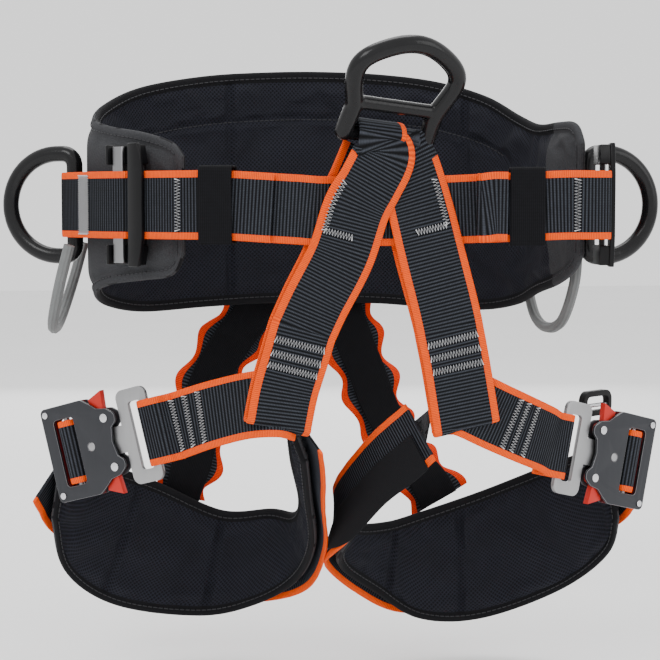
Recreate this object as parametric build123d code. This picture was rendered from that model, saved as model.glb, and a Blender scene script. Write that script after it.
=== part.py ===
from build123d import *
import math
import os

# Tree climbing saddle, in millimetres. Origin: centre of the waist opening at the
# height of the belt webbing. +Z is up, the wearer's front faces -Y, +X is to the
# right of someone who looks at the front.

# ---- driving dimensions ----
WEB_WIDTH = 45.0
WEB_THICK = 2.2
GAP = 0.4
PAD_THICK = 12.0
ELASTIC_WIDTH = 30.0
ELASTIC_THICK = 1.6
ELASTIC_OFFSET = 2.4
KEEPER_WIDTH = 23.0
KEEPER_THICK = 1.5

SIDE_BAR_R = 5.75
SIDE_RING_HALF_HEIGHT = 36.0
SIDE_RING_REACH = 48.5
SIDE_RING_CORNER = 8.0

VENTRAL_R = 4.75
VENTRAL_ARC_R = 6.0
VENTRAL_HALF_WIDTH = 30.0
VENTRAL_ARC_HALF_WIDTH = 35.5
VENTRAL_CROSSBAR_HEIGHT = 22.0
VENTRAL_TOP_HEIGHT = 67.0
VENTRAL_SHOULDER = (13.0, 7.0)
VENTRAL_BULGE = 25.0
VENTRAL_CENTRE = Vector(15.6, -116, 44)
VENTRAL_ACROSS = Vector(0.96, 0.27, -0.10)
VENTRAL_UP = Vector(0.20, -0.49, 0.85)

LOOP_R = 4.0
LOOP_SPAN = 96.0
LOOP_DROP = 62.0
LOOP_LEAN = {"left": 15.0, "right": -2.0}
LOOP_SHIFT = {"left": 0.004, "right": -0.104}
LOOP_OFFSET = 13.9
LOOP_TOP = -WEB_WIDTH / 2 - LOOP_R - 1.0

STEP_COUNT = 4
BELT_STATIONS = 22
WEB_OFFSET = PAD_THICK / 2 + 0.3 + WEB_THICK / 2
BAR_OFFSET = PAD_THICK / 2 + 0.3 + WEB_THICK + GAP + SIDE_BAR_R
WRAP_OFFSET = BAR_OFFSET + SIDE_BAR_R + GAP + WEB_THICK / 2
SPLIT_Z = -80.0

# Centre line of the waist pad seen from above, with its bottom and top heights,
# from the left flap's end round the back to the right flap's end.
WAIST = [
    (-110, -70, -32, 32),
    (-117, -61, -47, 42),
    (-134, -41, -51, 49),
    (-155, -13, -55, 54),
    (-164, 16, -62, 60),
    (-156, 52, -73, 72),
    (-127, 86, -80, 87),
    (-78, 106, -78, 97),
    (-30, 114, -76, 101),
    (14, 115, -76, 102),
    (60, 109, -77, 100),
    (100, 94, -80, 94),
    (131, 66, -80, 82),
    (147, 30, -74, 66),
    (152, -5, -64, 58),
    (155, -45, -56, 58),
    (157, -74, -46, 56),
    (158, -88, -34, 42),
]

# Leg pads, outer end round the back to the inner end: top edge, then bottom edge.
LEG_PAD = {
    "left": [
        ((-188, 34, -168), (-196, 40, -226)),
        ((-162, 58, -186), (-186, 72, -272)),
        ((-118, 78, -206), (-148, 90, -302)),
        ((-68, 90, -231), (-84, 92, -313)),
        ((-32, 72, -228), (-44, 74, -302)),
        ((-18, 44, -226), (-18, 46, -280)),
        ((-22, -6, -204), (-12, 0, -246)),
        ((-36, -52, -168), (-22, -46, -204)),
        ((-44, -82, -136), (-30, -78, -172)),
    ],
    "right": [
        ((204, -14, -172), (212, -12, -230)),
        ((190, 8, -182), (211, 8, -260)),
        ((164, 28, -196), (184, 39, -292)),
        ((124, 54, -217), (130, 64, -317)),
        ((80, 60, -232), (80, 62, -315)),
        ((50, 44, -236), (42, 48, -290)),
        ((20, 16, -230), (12, 22, -266)),
        ((10, -22, -206), (8, -16, -244)),
        ((28, -66, -164), (24, -60, -206)),
        ((52, -98, -134), (46, -92, -172)),
    ],
}
# How far the leg webbing sits from the middle of the pad towards its top edge.
LEG_WEB_SHIFT = {
    "left": [0, 0, 0, -6, -12, -8, 0, 0, 0],
    "right": [0, 0, 0, -8, -16, -10, 2, 4, 4, 2],
}

# V straps: centre and across direction from the ring downwards.
V_STRAP = {
    "left": [
        ((11, -117.4, 33), (0.94, 0.28, -0.15)),
        ((3, -117.5, 15), (0.95, 0.21, -0.20)),
        ((-5, -115.4, -2), (0.97, 0.10, -0.20)),
        ((-14, -113, -32), (0.965, 0.10, -0.21)),
        ((-29, -111, -62), (0.96, 0.12, -0.22)),
        ((-36, -109.5, SPLIT_Z + 2.5), (0.96, 0.12, -0.22)),
        ((-38, -109, SPLIT_Z - 2.5), (0.96, 0.12, -0.22)),
        ((-43, -107.5, -100), (0.95, 0.15, -0.23)),
        ((-49, -105.5, -121), (0.94, 0.18, -0.24)),
        ((-53, -104, -142), (0.93, 0.20, -0.26)),
    ],
    "right": [
        ((27, -112.6, 30), (0.95, 0.29, 0.02)),
        ((35, -110.8, 10), (0.97, 0.19, 0.10)),
        ((41, -110.8, -10), (0.985, 0.10, 0.13)),
        ((47, -112, -34), (0.985, 0.06, 0.15)),
        ((54, -114, -61), (0.98, 0.05, 0.18)),
        ((58, -115, SPLIT_Z + 2.5), (0.98, 0.04, 0.19)),
        ((59, -115, SPLIT_Z - 2.5), (0.98, 0.04, 0.19)),
        ((63, -114, -101), (0.98, 0.06, 0.20)),
        ((67, -113, -122), (0.98, 0.04, 0.21)),
        ((71, -112, -144), (0.97, 0.02, 0.22)),
    ],
}
V_UPPER_COUNT = 6
# Half the spacing of the two layers at each of those places.
V_HALF_GAP = {
    "left": [8.6, 8.0, 7.2, 5.0, 3.6, 3.4, 3.4, 3.4, 3.4, 3.4],
    "right": [5.2, 4.8, 4.5, 4.7, 4.0, 3.4, 3.4, 3.4, 3.4, 3.4],
}
V_EYE_RADIUS = {"left": 9.2, "right": 6.4}
V_EYE_SHIFT = {"left": -6.0, "right": 6.0}
V_EYE_WIDTH = 34.0

# Leg straps: centre and up direction from the pocket of the V strap to the tongue.
LEG_STRAP = {
    "left": [
        ((-38, -96, -133), (0.02, 0.10, 0.99)),
        ((-52, -104, -129), (0.05, 0.20, 0.97)),
        ((-72, -97, -131), (0.00, 0.36, 0.92)),
        ((-95, -84, -138), (-0.06, 0.34, 0.93)),
        ((-116, -67, -147), (-0.14, 0.22, 0.96)),
    ],
    "right": [
        ((56, -109, -129), (-0.02, 0.10, 0.99)),
        ((70, -113, -130), (-0.02, 0.02, 0.99)),
        ((94, -109, -141), (0.06, -0.10, 0.98)),
        ((116, -99, -151), (0.12, -0.04, 0.98)),
        ((134, -87, -159), (0.16, 0.06, 0.98)),
    ],
}

# Rear straps: centre and across direction, from the waist pad down to the leg pad.
REAR_STRAP = {
    "left": [
        ((-36, 124.0, -46), (1.0, 0.12, 0.0)),
        ((-38, 124.6, -80), (1.0, 0.12, 0.10)),
        ((-55, 121, -104), (0.95, 0.08, 0.34)),
        ((-70, 117, -128), (0.93, 0.04, 0.36)),
        ((-79, 112, -152), (0.96, 0.02, 0.24)),
        ((-84, 106, -178), (0.96, 0.06, 0.24)),
        ((-92, 101, -204), (0.93, 0.16, 0.30)),
        ((-98, 102, -222), (0.93, 0.20, 0.26)),
    ],
    "right": [
        ((30, 123.8, -46), (1.0, -0.10, 0.0)),
        ((32, 124.2, -80), (1.0, -0.10, -0.05)),
        ((40, 120, -106), (0.96, -0.06, -0.22)),
        ((49, 112, -132), (0.95, -0.04, -0.28)),
        ((57, 103, -157), (0.94, -0.04, -0.34)),
        ((70, 90, -184), (0.90, -0.04, -0.42)),
        ((88, 77.5, -209), (0.92, -0.10, -0.36)),
        ((98, 74, -226), (0.95, -0.14, -0.26)),
    ],
}

BUCKLE = {
    "left": (Vector(-174, -21, -167), Vector(-0.737, 0.625, -0.258), Vector(-0.64, -0.764, -0.02)),
    "right": (Vector(200, -44, -180), Vector(0.86, 0.452, -0.234), Vector(0.464, -0.883, 0.0)),
}
PLATE_THICK = 2.0
SPACER_THICK = 5.0
PLATE_END = 29.0
PLATE_TIP = -33.0
PLATE_HALF = 33.0
SLOT_START = 2.0
SLOT_END = 19.5
SLOT_HALF = 23.5
ROD_X = 11.0
ROD_Z = -0.5
ROD_R = 2.0
PIVOT = (-24.0, 17.0)
PIN_R = 1.9
HEAD_HALF = 11.5
NECK_HALF = 9.3
HEAD_START = -9.0
HEAD_END = -2.5
TONGUE_THICK = 2.8
TONGUE_BACK = -35.0
TONGUE_END = -60.0
TONGUE_HALF = 32.5
TONGUE_SLOT = (-54.5, -44.0)
TONGUE_LOOP_R = 4.6
END_RIVET = (25.0, 28.5)
END_RIVET_R = 1.6
PIVOT_HEAD_R = 3.0
END_HEAD_R = 2.3
HEAD_THICK = 0.7
PIN_CLEARANCE = 0.05
CENTRE_HOLE = (-8.2, 3.1)
LEVER_THICK = 4.4
LEVER_HUB_R = 4.4
LEVER_ARM = [(-20.5, 13.0), (-16.6, 11.0), (-13.0, 11.0), (-12.6, 16.0), (-17.0, 20.0)]
LEVER_TIP = [(-23.0, 21.3), (-14.5, 22.0), (-12.5, 31.5), (-24.5, 36.0)]
SPRING_START = (-11.9, 17.2)
SPRING_R = 1.5
SPRING_LENGTH = 4.2

ADJUSTER = {
    "left": (Vector(-142, -46, 0), Vector(0.62, -0.785, 0), Vector(-0.785, -0.62, 0)),
    "right": (Vector(163, -104, 0), Vector(-0.17, -0.985, 0), Vector(0.985, -0.17, 0)),
}
ADJ_HALF_HEIGHT = 41.0
ADJ_ARM_INNER = 27.0
ADJ_FLOOR = 3.0
ADJ_TOP = 9.5
ADJ_PLATE = (4.5, 19.0)
ADJ_HOOK = -18.0
SLIDER_WIDTH = 10.0
SLIDER_THICK = 3.0
SLIDER_START = -14.0
SLIDER_BASE = 3.4

# Middle of the front webbing: its free tail on the left, the run across the front,
# and the rolled end on the right.
FRONT_TAIL = [(-57.3, -110, -2), (-72.6, -105.4, -1), (-91.9, -97.8, 0), (-111.7, -85.7, 0)]
FRONT_RUN = [
    (-109, -82.5, 0), (-90, -94, 0), (-71, -101.5, -1), (-56, -106.3, -2), (-40, -112.5, -3),
    (-27, -116.6, -4), (-5, -115.3, -4), (17, -113.2, -4), (41, -110.8, -4), (63, -108.9, -3),
    (84, -114, -2), (109, -120.6, -1), (134, -125, 0), (149, -126.5, 0),
]
FRONT_END = [(150, -131.5, 0), (134, -129.3, 0), (109, -125.2, -1), (80, -120, -2)]

KEEPER_BORE = (9.6, WEB_WIDTH + 2.4)
KEEPER_PLACE = {
    "left": (Vector(-91, -95.9, 0), Vector(0.894, -0.447, 0)),
    "right": (Vector(109, -123.0, -1), Vector(0.984, -0.177, 0)),
}

LOCK = {
    "left": (Vector(-186, 38, -155), Vector(-0.60, 0.80, 0.0)),
    "right": (Vector(189, -26, -142), Vector(0.80, 0.60, 0.0)),
}
LOCK_FRAME = (34.0, 18.0, 5.0)
LOCK_WINDOW = (26.0, 10.0)
ROLLER_R = 1.5
ROLLER_DROP = -1.5

RING_REST_ANGLE = {"left": 156.0, "right": 8.0}
RING_STATION = {"left": 0.180, "right": 0.955}


# ---- curves and ribbons ----
def smooth(points, steps=STEP_COUNT):
    """Points on a Catmull-Rom curve through the given vectors."""
    ends = [points[0] * 2 - points[1], *points, points[-1] * 2 - points[-2]]
    result = []
    for a, b, c, d in zip(ends, ends[1:], ends[2:], ends[3:]):
        for step in range(steps):
            t = step / steps
            cubic = (b * 3 - a - c * 3 + d) * t**3
            square = (a * 2 - b * 5 + c * 4 - d) * t**2
            result.append((b * 2 + (c - a) * t + square + cubic) * 0.5)
    return [*result, points[-1]]


def directions(points):
    """Unit direction of travel at each point."""
    ahead = [*points[1:], points[-1]]
    behind = [points[0], *points[:-1]]
    return [(b - a).normalized() for a, b in zip(behind, ahead)]


def band(lower, upper, thickness):
    """Closed solid between two edge curves, with its thickness centred on them."""
    middle = [(a + b) * 0.5 for a, b in zip(lower, upper)]
    sections = []
    for a, b, along in zip(lower, upper, directions(middle)):
        normal = along.cross(b - a).normalized() * (thickness / 2)
        corners = [a - normal, b - normal, b + normal, a + normal]
        sections.append(Wire.make_polygon([*corners], close=True))
    return Solid.make_loft(sections, ruled=True)


def strap(stations, width, thickness=WEB_THICK, steps=STEP_COUNT):
    """Ribbon through (centre, across) stations; a third entry gives its own width."""
    lower = []
    upper = []
    for station in stations:
        centre, across = Vector(*station[0]), Vector(*station[1]).normalized()
        half = (station[2] if len(station) > 2 else width) / 2
        lower.append(centre - across * half)
        upper.append(centre + across * half)
    return band(smooth(lower, steps), smooth(upper, steps), thickness)


def turn(centre, start, towards, radius, first, last, count):
    """Points on an arc: angle 0 lies along start, 90 along towards."""
    result = []
    for index in range(count):
        angle = math.radians(first + (last - first) * index / (count - 1))
        result.append(centre + start * (radius * math.cos(angle)) + towards * (radius * math.sin(angle)))
    return result


def tube(wire, radius):
    """Round bar along a closed or open wire."""
    start = Plane(origin=wire @ 0, z_dir=wire % 0)
    return sweep(start * Circle(radius), path=wire, transition=Transition.ROUND)


# ---- the waist belt ----
WAIST_LINE = smooth([Vector(x, y, 0) for x, y, low, high in WAIST])


def beside(fraction, offset, height=0.0):
    """Point beside the waist pad: fraction of its length, distance outwards."""
    lengths = [0.0]
    for a, b in zip(WAIST_LINE, WAIST_LINE[1:]):
        lengths.append(lengths[-1] + (b - a).length)
    target = fraction * lengths[-1]
    index = max(i for i, value in enumerate(lengths[:-1]) if value <= target)
    share = (target - lengths[index]) / (lengths[index + 1] - lengths[index])
    a, b = WAIST_LINE[index], WAIST_LINE[index + 1]
    along = (b - a).normalized()
    outward = Vector(-along.Y, along.X, 0)
    return a + (b - a) * share + outward * offset + Vector(0, 0, height), outward, along


def waist_pad():
    lower = smooth([Vector(x, y, low) for x, y, low, high in WAIST])
    upper = smooth([Vector(x, y, high) for x, y, low, high in WAIST])
    return band(lower, upper, PAD_THICK)


def slider_loop(side, towards_ring):
    """Centre line of the belt webbing where it goes round the sliding bar."""
    origin, along, out = ADJUSTER[side]
    mid = SLIDER_BASE + SLIDER_THICK / 2
    radius = SLIDER_THICK / 2 + GAP + WEB_THICK / 2
    centre = origin + along * -1.5 + out * mid
    arc = turn(centre, out, along, radius, 0, 180, 7)
    first = origin + along * towards_ring + out * (mid + radius)
    last = origin - along * 12 + out * (mid - radius)
    return [first, *arc, last]


def belt_webbing():
    up = (0, 0, 1)
    left = RING_STATION["left"]
    right = RING_STATION["right"]
    centre = [*reversed(slider_loop("left", -24))]
    centre += [beside(left - 0.018, WRAP_OFFSET - 1.0)[0], beside(left, WRAP_OFFSET)[0]]
    centre += [beside(left + 0.018, WRAP_OFFSET - 3.0)[0], beside(left + 0.045, WEB_OFFSET + 2.0)[0]]
    for index in range(BELT_STATIONS):
        share = index / (BELT_STATIONS - 1)
        centre.append(beside(left + 0.075 + share * (right - left - 0.15), WEB_OFFSET + 0.4)[0])
    centre += [beside(right - 0.045, WEB_OFFSET + 2.0)[0], beside(right - 0.018, WRAP_OFFSET - 3.0)[0]]
    centre += [beside(right, WRAP_OFFSET)[0], *slider_loop("right", -20)]
    return strap([(point, up) for point in centre], WEB_WIDTH)


def ring_patch(side):
    """Short webbing under the bar of a side ring, sewn to the pad."""
    middle = RING_STATION[side]
    stations = []
    for shift in (-0.02, -0.007, 0.007, 0.02):
        stations.append((beside(middle + shift, WEB_OFFSET)[0], (0, 0, 1)))
    return strap(stations, WEB_WIDTH)


def front_loop(side):
    """Front webbing round the fixed bar of an adjuster: upper layer first."""
    origin, along, out = ADJUSTER[side]
    mid = ADJ_FLOOR / 2
    radius = mid + GAP + WEB_THICK / 2
    arc = turn(origin + along * 8.3 + out * mid, out, -along, radius, 0, 180, 7)
    upper = [origin + along * reach + out * (mid + radius) for reach in (23, 15)]
    lower = [origin + along * reach + out * (mid - radius) for reach in (15, 23)]
    return [*upper, *arc, *lower]


def front_webbing():
    up = (0, 0, 1)
    left = front_loop("left")
    right = front_loop("right")
    outer = [Vector(*point) for point in FRONT_TAIL]
    inner = [Vector(*point) for point in FRONT_RUN]
    rolled = [Vector(*point) for point in FRONT_END]
    centre = [*outer, *left, *inner, *reversed(right), *rolled]
    return strap([(point, up) for point in centre], WEB_WIDTH)


def keeper(side):
    """Elastic sleeve round both layers of the front webbing."""
    origin, along = KEEPER_PLACE[side]
    along = along.normalized()
    plane = Plane(origin=origin, x_dir=Vector(-along.Y, along.X, 0), z_dir=along)
    wide, tall = KEEPER_BORE
    outer = RectangleRounded(wide + 2 * KEEPER_THICK, tall + 2 * KEEPER_THICK, 3.0)
    inner = RectangleRounded(wide, tall, 1.6)
    return plane * extrude(outer - inner, KEEPER_WIDTH / 2, both=True)


# ---- adjusters ----
def local_box(low, high):
    size = [b - a for a, b in zip(low, high)]
    middle = [(a + b) / 2 for a, b in zip(low, high)]
    return Pos(*middle) * Box(*size)


def adjuster_plane(side):
    origin, along, out = ADJUSTER[side]
    return Plane(origin=origin, x_dir=along, z_dir=out)


def adjuster_frame(side):
    """Two hooked arms, a fixed back bar and a rounded front plate."""
    outline = Pos((ADJ_PLATE[0] + ADJ_PLATE[1]) / 2, 0) * Ellipse(34, ADJ_HALF_HEIGHT + 6)
    plate = local_box((ADJ_PLATE[0], -ADJ_HALF_HEIGHT, 6.4), (ADJ_PLATE[1], ADJ_HALF_HEIGHT, ADJ_TOP))
    plate &= extrude(outline, ADJ_TOP)
    frame = plate + local_box((8, -ADJ_ARM_INNER, 0), (15, ADJ_ARM_INNER, ADJ_FLOOR))
    for sign in (1, -1):
        inner, outer = sorted((sign * ADJ_ARM_INNER, sign * (ADJ_HALF_HEIGHT - 1)))
        frame += local_box((ADJ_HOOK, inner, 0), (ADJ_PLATE[1] - 2, outer, ADJ_FLOOR))
        frame += local_box((ADJ_HOOK, inner, 0), (ADJ_HOOK + 2.5, outer, ADJ_TOP - 0.5))
        frame += local_box((ADJ_PLATE[0], inner, 0), (ADJ_PLATE[1] - 2, outer, ADJ_TOP - 1))
    return adjuster_plane(side) * frame


def adjuster_bar(side):
    """Flat steel bar that slides in the hooked arms and nips the webbing."""
    low = (SLIDER_START, -ADJ_HALF_HEIGHT + 2, SLIDER_BASE)
    high = (SLIDER_START + SLIDER_WIDTH, ADJ_HALF_HEIGHT - 2, SLIDER_BASE + SLIDER_THICK)
    bar = local_box(low, high)
    bar = fillet(bar.edges().filter_by(Axis.Y), 1.0)
    return adjuster_plane(side) * bar


# ---- rings and gear loops ----
def side_ring(side):
    point, outward, along = beside(RING_STATION[side], BAR_OFFSET)
    angle = math.radians(RING_REST_ANGLE[side])
    reach = Vector(math.cos(angle), math.sin(angle), 0)
    plane = Plane(origin=point, x_dir=reach, z_dir=reach.cross(Vector(0, 0, 1)))
    half = SIDE_RING_HALF_HEIGHT
    corner = SIDE_RING_CORNER
    centre = SIDE_RING_REACH - half
    path = ThreePointArc((0, half - corner), (corner * 0.293, half - corner * 0.293), (corner, half))
    path += Line((corner, half), (centre, half))
    path += ThreePointArc((centre, half), (SIDE_RING_REACH, 0), (centre, -half))
    path += Line((centre, -half), (corner, -half))
    path += ThreePointArc((corner, -half), (corner * 0.293, -half + corner * 0.293), (0, -half + corner))
    bar = Rot(90, 0, 0) * Cylinder(SIDE_BAR_R, 2 * (half - corner))
    return plane * (tube(path.wire(), SIDE_BAR_R) + bar)


def ventral_ring():
    """Omega ring: bottom bar, two legs, a cross bar and a wide arc."""
    across = VENTRAL_ACROSS.normalized()
    normal = across.cross(VENTRAL_UP).normalized()
    plane = Plane(origin=VENTRAL_CENTRE, x_dir=across, z_dir=normal)
    half = VENTRAL_HALF_WIDTH
    wide = VENTRAL_ARC_HALF_WIDTH
    level = VENTRAL_CROSSBAR_HEIGHT
    top = VENTRAL_TOP_HEIGHT
    shoulder = (wide - VENTRAL_SHOULDER[0], top - VENTRAL_SHOULDER[1])
    right_side = [(half, 0), (half, level), (wide, level + VENTRAL_BULGE), shoulder]
    left_side = [(-x, y) for x, y in reversed(right_side)]
    arc = Spline(*right_side, (0, top), *left_side, tangents=[(0, 1), (0, -1)])
    ring = tube(Wire([arc.edge()]), VENTRAL_ARC_R)
    bottom = Rot(0, 90, 0) * Cylinder(VENTRAL_R, 2 * half)
    cross = Pos(0, level, 0) * bottom
    ends = Pos(half, 0, 0) * Sphere(VENTRAL_ARC_R) + Pos(-half, 0, 0) * Sphere(VENTRAL_ARC_R)
    return plane * (ring + bottom + cross + ends)


def gear_loop(side):
    """Moulded U loop below the belt, its two ends under the belt webbing."""
    shift = LOOP_SHIFT[side]
    lean = LOOP_LEAN[side]
    point, outward, along = beside(RING_STATION[side] + shift, LOOP_OFFSET, LOOP_TOP)
    tilt = math.radians(lean)
    down = Vector(0, 0, -math.cos(tilt)) + outward * math.sin(tilt)
    plane = Plane(origin=point, x_dir=along, z_dir=along.cross(down))
    half = LOOP_SPAN / 2
    outline = [(half, 0), (half - 3, LOOP_DROP * 0.45), (half * 0.55, LOOP_DROP * 0.88)]
    mirrored = [(-x, y) for x, y in outline]
    path = Spline(*mirrored, (0, LOOP_DROP), *reversed(outline))
    return plane * tube(Wire([path.edge()]), LOOP_R)


# ---- V straps ----
def v_layers(side, first, last):
    """Front and back layer stations of a V strap between two places."""
    front = []
    back = []
    for index in range(first, last):
        centre, across = V_STRAP[side][index]
        centre, across = Vector(*centre), Vector(*across).normalized()
        down = Vector(*V_STRAP[side][min(index + 1, 9)][0]) - Vector(*V_STRAP[side][max(index - 1, 0)][0])
        facing = across.cross(down).normalized()
        facing = facing if facing.Y < 0 else -facing
        front.append((centre + facing * V_HALF_GAP[side][index], across))
        back.append((centre - facing * V_HALF_GAP[side][index], across))
    return front, back


def v_strap_upper(side):
    """Both layers above the split, joined round the bottom bar of the ring."""
    front, back = v_layers(side, 0, V_UPPER_COUNT)
    across = VENTRAL_ACROSS.normalized()
    facing = Vector(0, 0, 1).cross(across).normalized()
    facing = facing if facing.Y < 0 else -facing
    above = facing.cross(across).normalized()
    above = above if above.Z > 0 else -above
    centre = VENTRAL_CENTRE + across * V_EYE_SHIFT[side]
    arc = turn(centre, facing, above, V_EYE_RADIUS[side], -20, 200, 9)
    eye = [(point, across, V_EYE_WIDTH) for point in arc]
    front = [*reversed([(*station, WEB_WIDTH) for station in front])]
    back = [(*station, WEB_WIDTH) for station in back]
    return strap([*front, *eye, *back], WEB_WIDTH)


def v_strap_lower(side):
    """Both layers below the split, joined at the fold that holds the leg strap."""
    front, back = v_layers(side, V_UPPER_COUNT, 10)
    end_front, across = front[-1]
    end_back = back[-1][0]
    centre = (end_front + end_back) * 0.5
    facing = (end_front - end_back).normalized()
    radius = (end_front - end_back).length / 2
    below = (end_front - front[-2][0]).normalized()
    fold = [(point, across) for point in turn(centre, facing, below, radius, 22, 158, 5)]
    return strap([*front, *fold, *reversed(back)], WEB_WIDTH)


# ---- leg loops ----
def leg_pad(side):
    upper = smooth([Vector(*top) for top, bottom in LEG_PAD[side]])
    lower = smooth([Vector(*bottom) for top, bottom in LEG_PAD[side]])
    return band(lower, upper, PAD_THICK)


def leg_webbing(side):
    """Webbing sewn to the outside of the leg pad, from its outer to its inner end."""
    upper = smooth([Vector(*top) for top, bottom in LEG_PAD[side]])
    lower = smooth([Vector(*bottom) for top, bottom in LEG_PAD[side]])
    shifts = smooth([Vector(shift, 0, 0) for shift in LEG_WEB_SHIFT[side]])
    middle = [(a + b) * 0.5 for a, b in zip(lower, upper)]
    outward = 1 if side == "right" else -1
    low_edge = []
    high_edge = []
    for a, b, shift, along in zip(lower, upper, shifts, directions(middle)):
        rise = (b - a).normalized()
        normal = along.cross(rise).normalized() * (outward * WEB_OFFSET)
        centre = (a + b) * 0.5 + normal + rise * shift.X
        low_edge.append(centre - rise * (WEB_WIDTH / 2))
        high_edge.append(centre + rise * (WEB_WIDTH / 2))
    return band(low_edge, high_edge, WEB_THICK)


def leg_strap(side):
    """Strap from the fold of the V strap to the tongue, looped round its bar."""
    centre, along, normal = BUCKLE[side]
    along = along.normalized()
    across = normal.cross(along)
    across = across if across.Z > 0 else -across
    bar = centre + along * ((TONGUE_END + TONGUE_SLOT[0]) / 2)
    radius = TONGUE_LOOP_R
    arc = turn(bar, normal, along, radius, 0, 180, 7)
    stations = [(Vector(*point), across_dir) for point, across_dir in LEG_STRAP[side]]
    lead = bar - along * 12 + normal * (radius + 0.4)
    near = bar - along * 10 - normal * (radius - 0.2)
    far = bar - along * 20 - normal * (radius - 1.2)
    loop = [(point, across) for point in (lead, *arc, near, far)]
    return strap([*stations, *loop], WEB_WIDTH)


def rear_strap(side, offset, width, thickness):
    """Strap behind the legs; offset moves it towards the wearer."""
    centres = [Vector(*centre) for centre, across in REAR_STRAP[side]]
    stations = []
    for (centre, across), along in zip(REAR_STRAP[side], directions(centres)):
        inward = along.cross(Vector(*across)).normalized()
        inward = inward if inward.Y < 0 else -inward
        stations.append((Vector(*centre) + inward * offset, across))
    return strap(stations, width, thickness)


# ---- quick buckles ----
def buckle_plane(side):
    centre, along, normal = BUCKLE[side]
    return Plane(origin=centre, x_dir=along, z_dir=normal)


def half_outline():
    return [
        (PLATE_END, 0), (PLATE_END, PLATE_HALF), (-7, PLATE_HALF), (-14, 28.5), (-19, 24.5),
        (-27, 23.0), (PLATE_TIP, 18.5), (PLATE_TIP, 13.5), (-28.5, 10), (-26.5, 0),
    ]


def plate_face():
    half = half_outline()
    mirrored = [(x, -y) for x, y in reversed(half[1:-1])]
    face = Face(Wire.make_polygon([Vector(x, y, 0) for x, y in [*half, *mirrored]], close=True))
    corners = face.vertices().filter_by(lambda v: abs(v.Y) > PLATE_HALF - 1 or v.X < PLATE_TIP + 1)
    return fillet(corners, 4.0)


def slot_tool():
    return flat_bar(SLOT_START, SLOT_END, SLOT_HALF, 3.0)


def cover_plate(side, base):
    """Steel plate with the webbing slot and the two pivot holes."""
    face = plate_face() - slot_tool()
    for sign in (1, -1):
        face -= Pos(PIVOT[0], sign * PIVOT[1]) * Circle(PIN_R + PIN_CLEARANCE)
        face -= Pos(END_RIVET[0], sign * END_RIVET[1]) * Circle(END_RIVET_R + PIN_CLEARANCE)
    face -= Pos(CENTRE_HOLE[0], 0) * Circle(CENTRE_HOLE[1])
    plate = Pos(0, 0, base) * extrude(face, PLATE_THICK)
    return buckle_plane(side) * plate


def spacer(side):
    """Red spacer between the plates, behind the levers."""
    face = Pos(15, 0) * Rectangle(44, 80) & plate_face()
    face -= slot_tool()
    face -= Pos(-4.5, 0) * Rectangle(7.4, 2 * HEAD_HALF + 2)
    for sign in (1, -1):
        face -= Pos(END_RIVET[0], sign * END_RIVET[1]) * Circle(END_RIVET_R + PIN_CLEARANCE)
    body = Pos(0, 0, -SPACER_THICK / 2) * extrude(face, SPACER_THICK)
    body -= Pos(ROD_X, 0, ROD_Z) * Rot(90, 0, 0) * Cylinder(ROD_R + PIN_CLEARANCE, 2 * SLOT_HALF + 8)
    return buckle_plane(side) * body


def friction_rod(side):
    rod = Pos(ROD_X, 0, ROD_Z) * Rot(90, 0, 0) * Cylinder(ROD_R, 2 * SLOT_HALF + 7.6)
    return buckle_plane(side) * rod


def rivet(radius, head):
    """Pin through both plates with a flat head at each end."""
    height = SPACER_THICK + 2 * PLATE_THICK
    pin = Cylinder(radius, height + HEAD_THICK)
    for sign in (1, -1):
        pin += Pos(0, 0, sign * (height + HEAD_THICK) / 2) * Cylinder(head, HEAD_THICK)
    return pin


def rivets(side):
    """Two pivot rivets and two end rivets."""
    group = []
    for (x, y), radius, head in ((PIVOT, PIN_R, PIVOT_HEAD_R), (END_RIVET, END_RIVET_R, END_HEAD_R)):
        for sign in (1, -1):
            group.append((Pos(x, sign * y, 0) * rivet(radius, head)).solid())
    return buckle_plane(side) * Compound(children=group)


def lever(side, sign):
    """Release lever: a hub on its rivet, a nose behind the tongue's head, a red tip."""
    bridge = (LEVER_ARM[0], LEVER_ARM[4], LEVER_TIP[1], LEVER_TIP[0])
    face = Pos(*PIVOT) * Circle(LEVER_HUB_R)
    for outline in (LEVER_ARM, LEVER_TIP, bridge):
        face += Face(Wire.make_polygon([Vector(x, y, 0) for x, y in outline], close=True))
    face -= Pos(*PIVOT) * Circle(PIN_R + PIN_CLEARANCE)
    body = Pos(0, 0, -LEVER_THICK / 2) * extrude(face, LEVER_THICK)
    body = body if sign > 0 else mirror(body, Plane.XZ)
    return buckle_plane(side) * body


def lever_spring(side, sign):
    """Outer shape of the small coil between a lever and the spacer."""
    middle = Pos(SPRING_START[0] + SPRING_LENGTH / 2, SPRING_START[1] * sign, 0)
    coil = Rot(0, 90, 0) * Cylinder(SPRING_R, SPRING_LENGTH)
    return buckle_plane(side) * (middle * coil)


def flat_bar(start, end, half, corner):
    """Rounded rectangle from start to end along X, half as wide as half."""
    return Pos((start + end) / 2, 0) * RectangleRounded(end - start, 2 * half, corner)


def tongue(side):
    """Forged tongue: a wide slotted end and a headed blade."""
    face = flat_bar(TONGUE_END, TONGUE_BACK, TONGUE_HALF, 6.0)
    face += flat_bar(TONGUE_BACK - 2, HEAD_START, NECK_HALF, 0.1)
    face += flat_bar(HEAD_START, HEAD_END, HEAD_HALF, 0.1)
    face -= flat_bar(*TONGUE_SLOT, SLOT_HALF, 2.5)
    body = Pos(0, 0, -TONGUE_THICK / 2) * extrude(face, TONGUE_THICK)
    return buckle_plane(side) * body


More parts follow.
